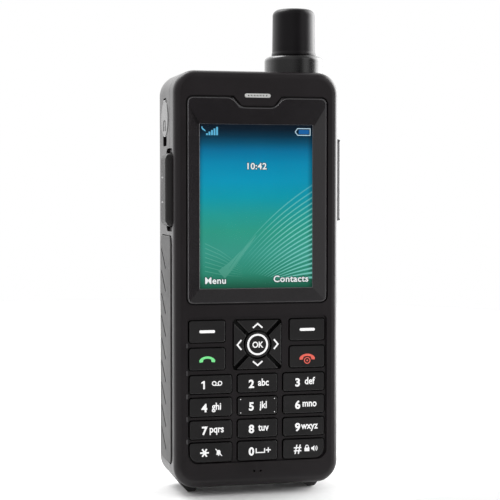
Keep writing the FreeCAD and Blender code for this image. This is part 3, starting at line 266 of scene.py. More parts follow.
SCREEN_X = 19.3          # half the width of the picture
SCREEN_Z = (66.8, 121.3)         # bottom and top of the picture
SCREEN_Y = -10.37        # back of the picture, which lies just behind the window
SCREEN_SKY = [           # share of the height from the bottom, colour
    (0.0, (22, 75, 56)), (0.05, (36, 112, 88)), (0.1, (44, 136, 112)), (0.22, (56, 152, 134)),
    (0.35, (46, 155, 134)), (0.45, (34, 157, 150)), (0.55, (8, 155, 172)), (0.65, (2, 150, 184)),
    (0.76, (0, 136, 175)), (0.83, (0, 114, 156)), (0.88, (0, 80, 112)), (0.92, (0, 50, 72)),
    (0.96, (2, 26, 42)), (1.0, (4, 14, 26))]
SCREEN_LIGHT = 1.0
SCREEN_BACKING = (0.002, 0.003, 0.004, 1.0)
SCREEN_EDGE_SHADE = (17.2, 19.2)       # painted shade on the picture's edges: it darkens between these distances from its middle
STREAK_FADE_X = (-7, 12)         # a streak gains strength from left to right
STREAK_FADE_Z = (103, 86)        # and from high to low


def screen_sky(made):
    """The wallpaper's colour by height, with painted shade darkening it towards the left and right edges."""
    height = made.span(made.axis("Z"), SCREEN_Z[0] * MM, SCREEN_Z[1] * MM, 0, 1)
    sky = made.ramp(height, [(share, linear(*colour)) for share, colour in SCREEN_SKY])
    aside = made.math("ABSOLUTE", made.axis("X"), 0)
    # painted shade: the emitted picture darkens towards its left and right edges
    edge = made.span(aside, SCREEN_EDGE_SHADE[0] * MM, SCREEN_EDGE_SHADE[1] * MM, 1.0, 0.55, smooth=True)
    drift = made.span(made.noise(22, detail=2), 0.3, 0.7, 0.94, 1.05)
    return made.mix(1.0, sky, made.math("MULTIPLY", edge, drift), "MULTIPLY")


def glowing(made, colour):
    """A surface that gives off its own colour and reflects next to nothing."""
    made.link(colour, made.shader.inputs["Emission Color"])
    made.link(made.span(made.noise(0.3, detail=1), 0, 1, 0.25, 0.35), made.shader.inputs["Roughness"])
    made.set(Emission_Strength=SCREEN_LIGHT, Base_Color=SCREEN_BACKING, Specular_IOR_Level=0.0)
    return made.material


def screen_picture():
    """The wallpaper's own colour."""
    made = Nodes("screen_picture")
    return glowing(made, screen_sky(made))


def screen_streak():
    """A streak starts in the wallpaper's own colour and turns paler to the right."""
    made = Nodes("screen_streak")
    along = made.span(made.axis("X"), STREAK_FADE_X[0] * MM, STREAK_FADE_X[1] * MM, 0.0, 0.62, smooth=True)
    low_down = made.span(made.axis("Z"), STREAK_FADE_Z[0] * MM, STREAK_FADE_Z[1] * MM, 0.35, 1.0)
    strength = made.math("MULTIPLY", along, low_down)
    return glowing(made, made.mix(strength, screen_sky(made), linear(140, 225, 215)))


def screen_band():
    """A pale veil over the wallpaper's own colour."""
    made = Nodes("screen_band")
    return glowing(made, made.mix(0.16, screen_sky(made), linear(150, 225, 205)))


def screen_print(name, colour):
    """A lit mark of one colour on the picture."""
    made = Nodes(name)
    flicker = made.span(made.noise(0.25, detail=1), 0.2, 0.8, 0.92, 1.0)
    return glowing(made, made.mix(1.0, colour, flicker, "MULTIPLY"))


# ---------------------------------------------------------------------- making pieces

SHARPEST_MITRE = 0.35    # limits how far the corner of a line reaches out
CAP_SHARE = 0.729        # height of a capital in the built-in font, as a share of its size


def piece(name, mesh, body, material, smooth=False):
    """A finished piece from a bmesh in millimetres, riding on a CAD body."""
    bmesh.ops.remove_doubles(mesh, verts=mesh.verts, dist=SAME_PLACE)
    bmesh.ops.recalc_face_normals(mesh, faces=mesh.faces)
    mesh.transform(Matrix.Scale(MM, 4))
    data = bpy.data.meshes.new(name)
    mesh.to_mesh(data)
    mesh.free()
    for face in data.polygons:
        face.use_smooth = smooth
    data.materials.append(material)
    made = bpy.data.objects.new(name, data)
    bpy.context.scene.collection.objects.link(made)
    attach(made, body)


class Ink:
    """Flat shapes with a little thickness, drawn on a face in its own right and up directions."""

    def __init__(self, origin, turn=FRONT, thickness=PRINT):
        self.mesh = bmesh.new()
        self.thickness = thickness
        self.matrix = Matrix.Translation(Vector(origin)) @ Matrix.Rotation(math.radians(turn), 4, "Z")

    def polygon(self, points, lift=0.0):
        near, far = -lift - self.thickness, -lift
        front = [self.mesh.verts.new((u, near, v)) for u, v in points]
        rear = [self.mesh.verts.new((u, far, v)) for u, v in points]
        self.mesh.faces.new(front)
        self.mesh.faces.new(reversed(rear))
        count = len(points)
        for i in range(count):
            j = (i + 1) % count
            self.mesh.faces.new((front[i], rear[i], rear[j], front[j]))

    def stroke(self, points, width, lift=0.0, closed=False, rounded=True):
        """A line of even width through the points, with mitred corners."""
        half = width / 2
        count = len(points)
        left, right = [], []
        for i, (u, v) in enumerate(points):
            before = points[i - 1] if i or closed else None
            after = points[(i + 1) % count] if i < count - 1 or closed else None
            normals = []
            for start, end in ((before, (u, v)), ((u, v), after)):
                if start and end:
                    run = math.hypot(end[0] - start[0], end[1] - start[1])
                    normals.append(((start[1] - end[1]) / run, (end[0] - start[0]) / run))
            across = (sum(n[0] for n in normals), sum(n[1] for n in normals))
            length = math.hypot(*across)
            across = (across[0] / length, across[1] / length)
            reach = half / max(SHARPEST_MITRE, across[0] * normals[0][0] + across[1] * normals[0][1])
            left.append((u + across[0] * reach, v + across[1] * reach))
            right.append((u - across[0] * reach, v - across[1] * reach))
        if closed:
            self.band(left, right, lift)
            return
        outline = left + self.cap(points[-2], points[-1], half, rounded) + right[::-1]
        outline += self.cap(points[1], points[0], half, rounded)
        self.polygon(outline, lift)

    @staticmethod
    def cap(inner, end, half, rounded):
        """Points round the end of a line, between its left and right sides."""
        if not rounded:
            return []
        heading = math.atan2(end[1] - inner[1], end[0] - inner[0])
        turns = [heading + math.radians(90 - 30 * step) for step in range(1, 6)]
        return [(end[0] + half * math.cos(t), end[1] + half * math.sin(t)) for t in turns]

    def band(self, outer, inner, lift=0.0):
        """A closed band between two outlines with the same number of points."""
        near, far = -lift - self.thickness, -lift
        rows = [[self.mesh.verts.new((u, y, v)) for u, v in points]
                for points, y in ((outer, near), (outer, far), (inner, far), (inner, near))]
        count = len(outer)
        for i in range(count):
            j = (i + 1) % count
            for a, b in zip(rows, rows[1:] + rows[:1]):
                self.mesh.faces.new((a[i], b[i], b[j], a[j]))

    def ring(self, u, v, radius, width, lift=0.0):
        outer, inner = arc(u, v, radius + width / 2, 0, 360), arc(u, v, radius - width / 2, 0, 360)
        self.band(outer[:-1], inner[:-1], lift)

    def disc(self, u, v, radius, lift=0.0):
        self.polygon(arc(u, v, radius, 0, 360)[:-1], lift)

    def box(self, u0, u1, v0, v1, corner=0.0, lift=0.0):
        if corner:
            points = []
            for cu, cv, start in ((u1, v1, 0), (u0, v1, 90), (u0, v0, 180), (u1, v0, 270)):
                inward_u = -corner if cu == u1 else corner
                inward_v = -corner if cv == v1 else corner
                points += arc(cu + inward_u, cv + inward_v, corner, start, start + 90, steps=6)
            self.polygon(points, lift)
        else:
            self.polygon([(u0, v0), (u1, v0), (u1, v1), (u0, v1)], lift)

    def text(self, string, height, u, v, squeeze=1.0, weight=0.0, align="CENTER", lift=0.0, spacing=1.0):
        """Text whose capitals and digits are height millimetres tall, standing on the line v."""
        size = height / CAP_SHARE
        font = bpy.data.curves.new("lettering", "FONT")
        font.body = string
        font.size = size
        font.align_x = align
        font.space_character = spacing
        font.extrude = self.thickness / 2
        font.offset = weight
        font.resolution_u = 4
        holder = bpy.data.objects.new("lettering", font)
        bpy.context.scene.collection.objects.link(holder)
        shaped = holder.evaluated_get(bpy.context.evaluated_depsgraph_get())
        data = bpy.data.meshes.new_from_object(shaped)
        data.transform(Matrix(((squeeze, 0, 0, u), (0, 0, -1, -lift - self.thickness / 2),
                               (0, 1, 0, v), (0, 0, 0, 1))))
        self.mesh.from_mesh(data)
        bpy.data.objects.remove(holder)
        bpy.data.curves.remove(font)
        bpy.data.meshes.remove(data)

    def finish(self, name, body, material, slot):
        self.mesh.transform(self.matrix)
        piece(name, self.mesh, body, material)


def arc(u, v, radius, start, end, steps=None):
    """Points along a circular arc, in degrees, counted from the right."""
    steps = steps or max(6, round(abs(end - start) / 12))
    turns = [math.radians(start + (end - start) * i / steps) for i in range(steps + 1)]
    return [(u + radius * math.cos(t), v + radius * math.sin(t)) for t in turns]


def middle(node):
    """Centre, low corner and high corner of a CAD node, in millimetres."""
    low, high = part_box(node)
    centre = (low + high) / (2 * MM)
    return centre, low / MM, high / MM


# ---------------------------------------------------------------------- materials

finishes = {
    "case_plastic": moulded("case_plastic", linear(22, 16, 19), 0.35, grain=0.16, relief=0.3,
                            Specular_IOR_Level=0.41),
    "collar_plastic": moulded("collar_plastic", linear(20, 19, 20), 0.26, grain=0.5, relief=0.06,
                              Coat_Weight=0.25, Coat_Roughness=0.15),
    "radome_plastic": moulded("radome_plastic", linear(19, 16, 19), 0.36, grain=0.2, relief=0.22,
                              Specular_IOR_Level=0.2),
    "bezel_gloss": moulded("bezel_gloss", linear(26, 22, 25), 0.2, 0.04, grain=0.6, relief=0.05,
                           Coat_Weight=0.75, Coat_Roughness=0.08),
    "window_glass": window_glass(),
    "lcd": moulded("lcd_stack", grey(12), 0.3, grain=0.4, relief=0.05),
    "key_plastic": moulded("key_plastic", linear(19, 17, 18), 0.34, grain=0.14, relief=0.18),
    "soft_rubber": moulded("soft_rubber", linear(29, 27, 27), 0.55, grain=0.12, relief=0.35, mottle=0.25),
    "steel": metal("steel", (0.62, 0.62, 0.63, 1.0), 0.3),
    "brass": metal("brass", (0.8, 0.62, 0.3, 1.0), 0.25, brush=(1, 1, 1), brush_size=1.5),
    "board": circuit_board(),
    "inner_plastic": moulded("inner_plastic", grey(62), 0.5, grain=0.3, relief=0.2),
    "battery_wrap": battery_wrap(),
    "card_plastic": moulded("card_plastic", grey(225), 0.4, grain=0.5, relief=0.06, mottle=0.04),
}
grip_rubber = moulded("grip_rubber", linear(26, 24, 24), 0.5, grain=0.12, relief=0.4, mottle=0.25)
special = {
    "earpiece_grille": moulded("grille_silver", linear(228, 228, 226), 0.38, grain=0.2, relief=0.2,
                               mottle=0.06),
    "keypad_mat": moulded("mat_rubber", linear(15, 14, 15), 0.5, grain=0.18, relief=0.3),
    "grip_left": grip_rubber,
    "grip_right": grip_rubber,
    "jack_cover": moulded("jack_rubber", linear(92, 91, 92), 0.3, grain=0.12, relief=0.2),
    "port_cover": moulded("port_rubber", linear(92, 91, 92), 0.25, grain=0.12, relief=0.2),
}


def dress_cad():
    """Give each CAD node its own finish, or the one of its material slot."""
    for row in frame["record"]["subparts"]:
        node = frame["nodes"][row["node"]]
        node.data.materials.clear()
        node.data.materials.append(special.get(row["node"]) or finishes[row["material_slot"]])


# the key legends glow: painted light that keeps them bright
white_ink = printed("white_ink", linear(242, 242, 242), glow=0.45)
green_ink = printed("green_ink", linear(118, 222, 140), glow=0.45)
red_ink = printed("red_ink", linear(226, 98, 84), glow=0.4)
pale_ink = printed("pale_ink", linear(150, 150, 150))


# ---------------------------------------------------------------------- display picture

STREAKS, STREAK_STEPS = 19, 24
STREAK_START_X, STREAK_START_Z = (-9.0, 9.0), (73.6, 70.0)      # of the highest and the lowest streak
STREAK_END_Z = (101.0, 70.5)             # where those two meet the right edge of the picture
STREAK_CROWDING = 0.92                   # below 1, the streaks stand closer together towards the lowest
STREAK_BOW = (0.055, 0.012)              # how far those two bend, as a share of their length
STREAK_FIRST_WIDTH, STREAK_WIDTH = 0.1, (0.4, 0.68)      # at the start, and at the end of those two
SWEEP = [(-11.5, 71.8), (-7.8, 75.2), (-3.8, 79.8), (0.2, 84.6)]
SWEEP_WIDTHS = (3.4, 0.2)
SIDE_LINES, SIDE_LINE_PITCH, SIDE_LINE_WIDTHS = 7, 1.5, (0.3, 0.05)
SIDE_LINE = [(-17.0, 82.0, 1.0), (-12.0, 79.6, 0.85), (-8.0, 76.8, 0.6), (-4.5, 74.3, 0.35)]
PICTURE_INK, STREAK_INK, SWEEP_INK = 0.02, 0.004, 0.003      # thicknesses
STREAK_AHEAD, SWEEP_AHEAD, MARK_AHEAD = 0.025, 0.021, 0.03   # how far in front of the picture's back
LIFT_STEP = 0.0004       # keeps two lines that cross from sharing a face


def part_way(pair, share):
    """The number that lies a share of the way from the first of a pair to the second."""
    first, second = pair
    return first + (second - first) * share


def streak_line(share):
    """A streak of the wallpaper: share 0 is the highest, 1 the lowest. Bends over to the right."""
    start = (part_way(STREAK_START_X, share), part_way(STREAK_START_Z, share))
    end = (SCREEN_X, part_way(STREAK_END_Z, share ** STREAK_CROWDING))
    chord = (end[0] - start[0], end[1] - start[1])
    bow = part_way(STREAK_BOW, share)
    points = []
    for step in range(STREAK_STEPS + 1):
        t = step / STREAK_STEPS
        lift = 4 * t * (1 - t) * bow
        points.append((start[0] + chord[0] * t - chord[1] * lift,
                       start[1] + chord[1] * t + chord[0] * lift))
    return points


def tapered(ink, points, first, last, lift=0.0):
    """A line whose width changes steadily from its first point to its last."""
    left, right = [], []
    count = len(points)
    for i, (u, v) in enumerate(points):
        before, after = points[max(i - 1, 0)], points[min(i + 1, count - 1)]
        run = math.hypot(after[0] - before[0], after[1] - before[1])
        half = (first + (last - first) * i / (count - 1)) / 2
        across = ((before[1] - after[1]) / run * half, (after[0] - before[0]) / run * half)
        left.append((u + across[0], v + across[1]))
        right.append((u - across[0], v - across[1]))
    ink.polygon(left + right[::-1], lift)


def clipped(points):
    """The part of a line that lies on the picture."""
    return [p for p in points if p[0] <= SCREEN_X and SCREEN_Z[0] < p[1] < SCREEN_Z[1]]


def make_wallpaper():
    """The picture's ground, streaks over its right half, and a pale sweep and thin lines on its left."""
    picture = Ink((0, SCREEN_Y, 0), thickness=PICTURE_INK)
    picture.box(-SCREEN_X, SCREEN_X, SCREEN_Z[0], SCREEN_Z[1], corner=0.3)
    picture.finish("screen_picture", "body", screen_picture(), "lcd")

    streaks = Ink((0, SCREEN_Y - STREAK_AHEAD, 0), thickness=STREAK_INK)
    for number in range(STREAKS):
        share = number / (STREAKS - 1)
        tapered(streaks, clipped(streak_line(share)), STREAK_FIRST_WIDTH, part_way(STREAK_WIDTH, share))
    streaks.finish("screen_streaks", "body", screen_streak(), "lcd")

    band = Ink((0, SCREEN_Y - SWEEP_AHEAD, 0), thickness=SWEEP_INK)
    tapered(band, SWEEP, *SWEEP_WIDTHS)
    for number in range(SIDE_LINES):
        drop = SIDE_LINE_PITCH * number
        line = [(u, v - drop * share) for u, v, share in SIDE_LINE]
        tapered(band, line, *SIDE_LINE_WIDTHS, lift=LIFT_STEP * number)
    band.finish("screen_glow", "body", screen_band(), "lcd")


SCREEN_WORDS = [         # generic words: string, height of a capital, middle, foot, squeeze
    ("Menu", 2.15, -13.5, 68.9, 1.04),
    ("Contacts", 2.15, 12.0, 69.2, 1.05),
    ("10:42", 2.1, 0.2, 106.2, 1.05),
]
WORD_WEIGHT, WORD_EDGE_WEIGHT, WORD_LIFT = 0.07, 0.22, 0.016     # the lift brings words before edges
MARK_INK = 0.006
SIGNAL_BARS, SIGNAL_BAR_WIDTH, SIGNAL_PITCH = 5, 0.6, 0.84
SIGNAL_LEFT, SIGNAL_FOOT, SIGNAL_TOP = -16.6, 117.15, 117.75     # of the first bar
SIGNAL_RISE = 0.52       # how much taller each bar is than the last
DISH = arc(-16.9, 119.8, 1.05, 180, 262)
DISH_FEED = [(-17.45, 119.15), (-16.9, 118.5)]
BATTERY_OUTLINE = [(14.2, 117.4), (18.5, 117.4), (18.5, 119.6), (14.2, 119.6), (13.4, 118.5)]
BATTERY_CHARGE = (14.6, 18.1, 117.8, 119.2)


def screen_ink():
    """Ink for a mark in front of the wallpaper."""
    return Ink((0, SCREEN_Y - MARK_AHEAD, 0), thickness=MARK_INK)


def make_screen_words():
    """Generic words and a clock, each with a dark edge behind it."""
    white = screen_print("screen_white", linear(245, 250, 250))
    dark = screen_print("screen_dark", linear(6, 30, 36))
    layers = [("screen_words", WORD_WEIGHT, WORD_LIFT, white),
              ("screen_word_edges", WORD_EDGE_WEIGHT, 0.0, dark)]
    for name, weight, lift, material in layers:
        ink = screen_ink()
        for string, height, u, v, squeeze in SCREEN_WORDS:
            ink.text(string, height, u, v, squeeze, weight, lift=lift, spacing=1.06)
        ink.finish(name, "body", material, "lcd")


def make_status_icons():
    """Signal bars with a small dish at the top left, and a battery at the top right."""
    signal = screen_ink()
    for bar in range(SIGNAL_BARS):
        left = SIGNAL_LEFT + SIGNAL_PITCH * bar
        signal.box(left, left + SIGNAL_BAR_WIDTH, SIGNAL_FOOT, SIGNAL_TOP + SIGNAL_RISE * bar)
    signal.stroke(DISH, 0.36)
    signal.stroke(DISH_FEED, 0.26)
    sky = screen_print("screen_icon_blue", linear(98, 188, 226))
    signal.finish("screen_signal_icon", "body", sky, "lcd")

    battery = screen_ink()
    battery.stroke(BATTERY_OUTLINE, 0.26, closed=True)
    pale = screen_print("screen_icon_pale", linear(196, 226, 240))
    battery.finish("screen_battery_outline", "body", pale, "lcd")
    charge = screen_ink()
    charge.box(*BATTERY_CHARGE, corner=0.2)
    blue = screen_print("screen_charge", linear(26, 100, 165))
    charge.finish("screen_battery_charge", "body", blue, "lcd")


# ---------------------------------------------------------------------- key legends

DIGIT_H, LETTER_H = 2.65, 2.35
DIGIT_WEIGHT, LETTER_WEIGHT = 0.13, 0.075
LETTERS = {"2": "abc", "3": "def", "4": "ghi", "5": "jkl", "6": "mno", "7": "pqrs", "8": "tuv", "9": "wxyz"}
PAIR_U = 2.1             # the digit is this far left of the key's centre, its letters about as far right
ONE = [(-1.95, -1.4), (-1.95, 1.25), (-2.4, 1.25), (-3.1, 0.75), (-3.1, 0.3), (-2.5, 0.6), (-2.5, -1.4)]
DOT_U, DOT_V, DOT_R = 5.7, 2.2, 0.16     # the small dots near the corners of the 5 key
RING_R, RING_WIDTH = 3.2, 0.62           # the ring on the select key
ARROW_OUT, ARROW_HALF, ARROW_RISE = 6.15, 1.6, 1.35      # distance from the middle, half width, height


def key_ink(node):
    """Ink on the front of a key, with its origin at the middle of the key's face."""
    centre, low, _ = middle(node)
    return Ink((centre.x, low.y, centre.z))


def voicemail(ink, u):
    """Two rings joined by a line along their feet."""
    for side in (-1, 1):
        ink.ring(u + 0.95 * side, 0.35, 0.62, 0.32)
    ink.box(u - 0.95, u + 0.95, -0.43, -0.13, lift=0.002)


def star(ink, u, arms=6, reach=1.45, width=0.52):
    """An asterisk as one outline: out along each arm and back to the notch between two arms."""
    points = []
    notch = width / 2 / math.sin(math.pi / arms)
    for i in range(arms):
        turn = 2 * math.pi * i / arms
        across = (-math.sin(turn) * width / 2, math.cos(turn) * width / 2)
        tip = (u + math.cos(turn) * reach, math.sin(turn) * reach)
        points.append((tip[0] - across[0], tip[1] - across[1]))
        points.append((tip[0] + across[0], tip[1] + across[1]))
        between = turn + math.pi / arms
        points.append((u + math.cos(between) * notch, math.sin(between) * notch))
    ink.polygon(points)


def bell(ink, u):
    """A bell with a line across it."""
    dome = arc(u, 0.15, 0.62, 180, 0)
    ink.polygon([(u - 0.95, -0.75), (u - 0.62, -0.35)] + dome + [(u + 0.62, -0.35), (u + 0.95, -0.75)])
    ink.disc(u, -1.0, 0.2)
    ink.stroke([(u - 1.0, 1.1), (u + 1.05, -1.15)], 0.26, lift=0.002)


def padlock(ink, u):
    """A closed padlock."""
    ink.box(u - 0.85, u + 0.85, -0.9, 0.3, corner=0.12)
    shackle = [(u - 0.5, 0.28)] + arc(u, 0.6, 0.5, 180, 0) + [(u + 0.5, 0.28)]
    ink.stroke(shackle, 0.26, lift=0.002, rounded=False)


def speaker(ink, u):
    """A loudspeaker with two sound waves."""
    ink.polygon([(u - 0.95, -0.38), (u - 0.5, -0.38), (u + 0.1, -1.0), (u + 0.1, 1.0), (u - 0.5, 0.38),
                 (u - 0.95, 0.38)])
    for radius in (0.6, 1.05):
        ink.stroke(arc(u + 0.05, 0, radius, 48, -48, steps=6), 0.22)


def handset(ink):
    """A telephone handset seen from the side, arched over the middle, with its two ends turned down."""
    ink.stroke(arc(0, -2.75, 3.3, 124, 56, steps=10), 0.75, rounded=False)
    for side in (-1, 1):
        ink.polygon([(side * 1.25, -0.25), (side * 1.5, -0.95), (side * 2.55, -1.05), (side * 2.65, -0.4),
                     (side * 2.1, 0.3)], lift=0.003)


def make_digit_print():
    """The digit and letters of the keys 2 to 9, then what the keys 1, star, 0 and hash carry."""
    for digit, letters in LETTERS.items():
        ink = key_ink(f"key_{digit}")
        ink.text(digit, DIGIT_H, -PAIR_U, -DIGIT_H / 2 - 0.1, weight=DIGIT_WEIGHT)
        ink.text(letters, LETTER_H, PAIR_U - 0.15, -DIGIT_H / 2 + 0.5, 0.84, weight=LETTER_WEIGHT)
        if digit == "5":
            for side_u in (-DOT_U, DOT_U):
                for side_v in (-DOT_V, DOT_V):
                    ink.disc(side_u, side_v, DOT_R)
        ink.finish(f"print_key_{digit}", f"key_{digit}", white_ink, "key_plastic")

    ink = key_ink("key_1")
    ink.polygon(ONE)
    voicemail(ink, PAIR_U)
    ink.finish("print_key_1", "key_1", white_ink, "key_plastic")

    ink = key_ink("key_star")
    star(ink, -PAIR_U)
    bell(ink, PAIR_U + 0.5)
    ink.finish("print_key_star", "key_star", white_ink, "key_plastic")

    ink = key_ink("key_0")
    ink.text("0", DIGIT_H, -PAIR_U, -DIGIT_H / 2 - 0.1, weight=DIGIT_WEIGHT)
    # the mark for a space, and a plus
    ink.stroke([(-0.5, 0.75), (-0.5, -0.65), (2.35, -0.65), (2.35, 0.75)], 0.36, rounded=False)
    ink.stroke([(2.75, 0.1), (4.45, 0.1)], 0.38, rounded=False)
    ink.stroke([(3.6, -0.75), (3.6, 0.95)], 0.38, rounded=False, lift=0.002)
    ink.finish("print_key_0", "key_0", white_ink, "key_plastic")

    ink = key_ink("key_hash")
    ink.text("#", DIGIT_H + 0.45, -PAIR_U, -DIGIT_H / 2 + 0.05, weight=0.05)
    padlock(ink, 1.1)
    speaker(ink, 3.55)
    ink.finish("print_key_hash", "key_hash", white_ink, "key_plastic")


def make_call_print():
    """The bars on the soft keys and the handsets on the call and end keys."""
    for side in ("left", "right"):
        ink = key_ink(f"key_soft_{side}")
        ink.box(-2.6, 2.6, -0.47, 0.47, corner=0.44)
        ink.finish(f"print_key_soft_{side}", f"key_soft_{side}", white_ink, "key_plastic")

    ink = key_ink("key_call")
    handset(ink)
    ink.finish("print_key_call", "key_call", green_ink, "key_plastic")

    ink = key_ink("key_end")
    handset(ink)
    ink.ring(0, -1.3, 0.95, 0.3, lift=0.004)
    ink.disc(0, -1.3, 0.3)
    ink.finish("print_key_end", "key_end", red_ink, "key_plastic")


def make_navigation_print():
    """An arrowhead on each direction key, and a ring and a word on the select key."""
    select, low, _ = middle("key_select")
    heads = {"up": (0, 1), "down": (0, -1), "left": (-1, 0), "right": (1, 0)}
    for name, (right, up) in heads.items():
        ink = Ink((select.x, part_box(f"key_{name}")[0].y / MM, select.z))
        tip, foot = ARROW_OUT + ARROW_RISE / 2, ARROW_OUT - ARROW_RISE / 2
        aside_u, aside_v = up * ARROW_HALF, right * ARROW_HALF
        wings = [(right * foot - aside_u, up * foot + aside_v), (right * tip, up * tip),
                 (right * foot + aside_u, up * foot - aside_v)]
        ink.stroke(wings, 0.5, rounded=False)
        ink.finish(f"print_key_{name}", f"key_{name}", white_ink, "key_plastic")

    ink = Ink((select.x, low.y, select.z))
    ink.ring(0, 0, RING_R, RING_WIDTH)
    ink.text("OK", 2.0, 0, -1.0, 0.9, weight=0.06)
    ink.finish("print_key_select", "key_select", white_ink, "key_plastic")


# ---------------------------------------------------------------------- trim lines and rib ends

NOTCH_TOP, NOTCH_BOTTOM, NOTCH_DEPTH = 8.55, 5.75, 3.2      # the dip: half widths and depth
TRIM_R, TRIM_BEND = 0.26, 1.9
TRIM_INSET, TRIM_SUNK = 0.32, 0.18       # in from the bezel's outer edge, and back from its face
PICTURE_TRIM_R, PICTURE_TRIM_BEND = 0.14, 0.4
WINDOW_EDGE = (19.08, 67.27, 120.84)     # half width, bottom and top of the opening in the bezel
WINDOW_EDGE_Y = -11.85                   # how far forward the line round that opening lies
RIB_X = -23.6            # along the left edge of the keypad field
RIB_HALF_WIDTH, RIB_HALF_HEIGHT, RIB_INK = 0.28, 0.8, 0.12
LONGEST_REACH = 0.45     # how much of a side between two corners one bend may take up
BEND_STEPS, LINE_SIDES = 6, 8


def rounded_path(points, radius):
    """A closed path through the corners, each rounded off."""
    path = []
    count = len(points)
    for i, corner in enumerate(points):
        before, after = Vector(points[i - 1]), Vector(points[(i + 1) % count])
        corner = Vector(corner)
        to_before, to_after = (before - corner).normalized(), (after - corner).normalized()
        shorter = min((before - corner).length, (after - corner).length)
        reach = min(radius, shorter * LONGEST_REACH)
        for step in range(BEND_STEPS + 1):
            t = step / BEND_STEPS
            start, end = corner + to_before * reach, corner + to_after * reach
            path.append(start * (1 - t) ** 2 + corner * 2 * t * (1 - t) + end * t ** 2)
    return path


def line_round(name, corners, radius, bend, y, material):
    """A slim round line along a closed path in the X-Z plane."""
    path = rounded_path(corners, bend)
    made = bmesh.new()
    rings = []
    count = len(path)
    for i, point in enumerate(path):
        along = (path[(i + 1) % count] - path[i - 1]).normalized()
        across = Vector((along.y, -along.x))
        ring = []
        for step in range(LINE_SIDES):
            turn = 2 * math.pi * step / LINE_SIDES
            out = point + across * radius * math.cos(turn)
            ring.append(made.verts.new((out.x, y - radius * math.sin(turn), out.y)))
        rings.append(ring)
    for ring, following in zip(rings, rings[1:] + rings[:1]):
        for i in range(LINE_SIDES):
            j = (i + 1) % LINE_SIDES
            made.faces.new((ring[i], ring[j], following[j], following[i]))
    piece(name, made, "body", material, smooth=True)


def make_field_edge():
    """Small polished rib ends between the rows of keys, along the left side of the keypad field."""
    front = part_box("front_cover")[0].y / MM
    polish = metal("rib_polish", (0.16, 0.155, 0.16, 1.0), 0.34, brush=(1, 1, 1), brush_size=0.5)
    ribs = Ink((RIB_X, front, 0), thickness=RIB_INK)
    rows = ["key_soft_left", "key_call", "key_1", "key_4", "key_7", "key_star"]
    for upper, lower in zip(rows, rows[1:]):
        gap = (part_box(upper)[0].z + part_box(lower)[1].z) / (2 * MM)
        foot, top = gap - RIB_HALF_HEIGHT, gap + RIB_HALF_HEIGHT
        ribs.box(-RIB_HALF_WIDTH, RIB_HALF_WIDTH, foot, top, corner=0.25, lift=-0.04)
    ribs.finish("rib_ends", "body", polish, "case_plastic")


def make_trim():
    """A slim satin line round the bezel, dipping under the earpiece, and a thinner one round its opening."""
    low, high = (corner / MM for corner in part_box("display_bezel"))
    side, bottom, top = high.x - TRIM_INSET, low.z + TRIM_INSET, high.z - TRIM_INSET
    dip = top - NOTCH_DEPTH
    corners = [(-side, bottom), (side, bottom), (side, top), (NOTCH_TOP, top), (NOTCH_BOTTOM, dip),
               (-NOTCH_BOTTOM, dip), (-NOTCH_TOP, top), (-side, top)]
    finish = metal("trim_metal", (0.12, 0.116, 0.12, 1.0), 0.36, brush=(1, 1, 1), brush_size=0.4)
    line_round("bezel_trim", corners, TRIM_R, TRIM_BEND, low.y + TRIM_SUNK, finish)
    side, bottom, top = WINDOW_EDGE
    corners = [(-side, bottom), (side, bottom), (side, top), (-side, top)]
    inner = metal("inner_trim_metal", (0.2, 0.2, 0.21, 1.0), 0.35, brush=(1, 1, 1), brush_size=0.4)
    line_round("picture_trim", corners, PICTURE_TRIM_R, PICTURE_TRIM_BEND, WINDOW_EDGE_Y, inner)


# ---------------------------------------------------------------------- marks on the sides

VOLUME_MARK_V, VOLUME_MARK_HALF, VOLUME_MARK_WIDTH = 4.0, 1.3, 0.45
LABEL = (-13.5, 13.5, -16.0, 12.0)       # left, right, bottom and top about the battery's middle
LABEL_INK, LABEL_LEFT, LABEL_RIGHT = 0.1, -11.0, 11.0
LINES, LINE_FOOT, LINE_PITCH, LINE_HEIGHT, LINE_SHORTER = 4, -4.4, 2.6, 0.6, 1.5     # plain bars for text
PLUS_U, PLUS_V, PLUS_HALF = 9.25, 2.2, 1.75


def make_side_marks():
    """Raised plus and minus on the volume key, and a headset outline on the jack cover."""
    centre, low, _ = middle("volume_key")
    marks = Ink((low.x, centre.y, centre.z), LEFT, thickness=0.12)
    for v in (VOLUME_MARK_V, -VOLUME_MARK_V):
        marks.stroke([(-VOLUME_MARK_HALF, v), (VOLUME_MARK_HALF, v)], VOLUME_MARK_WIDTH, lift=-0.06)
    upright = [(0, VOLUME_MARK_V - VOLUME_MARK_HALF), (0, VOLUME_MARK_V + VOLUME_MARK_HALF)]
    marks.stroke(upright, VOLUME_MARK_WIDTH, lift=-0.055)
    marks.finish("volume_marks", "volume_key", pale_ink, "soft_rubber")

    centre, low, _ = middle("jack_cover")
    marks = Ink((low.x, centre.y, centre.z), LEFT, thickness=0.1)
    marks.stroke(arc(0, -2.4, 1.7, 205, -25), 0.4, lift=-0.03)
    for side in (-1, 1):
        marks.box(side * 1.6 - 0.42, side * 1.6 + 0.42, -4.2, -2.7, corner=0.25, lift=-0.025)
    marks.finish("headset_mark", "jack_cover", finishes["soft_rubber"], "soft_rubber")


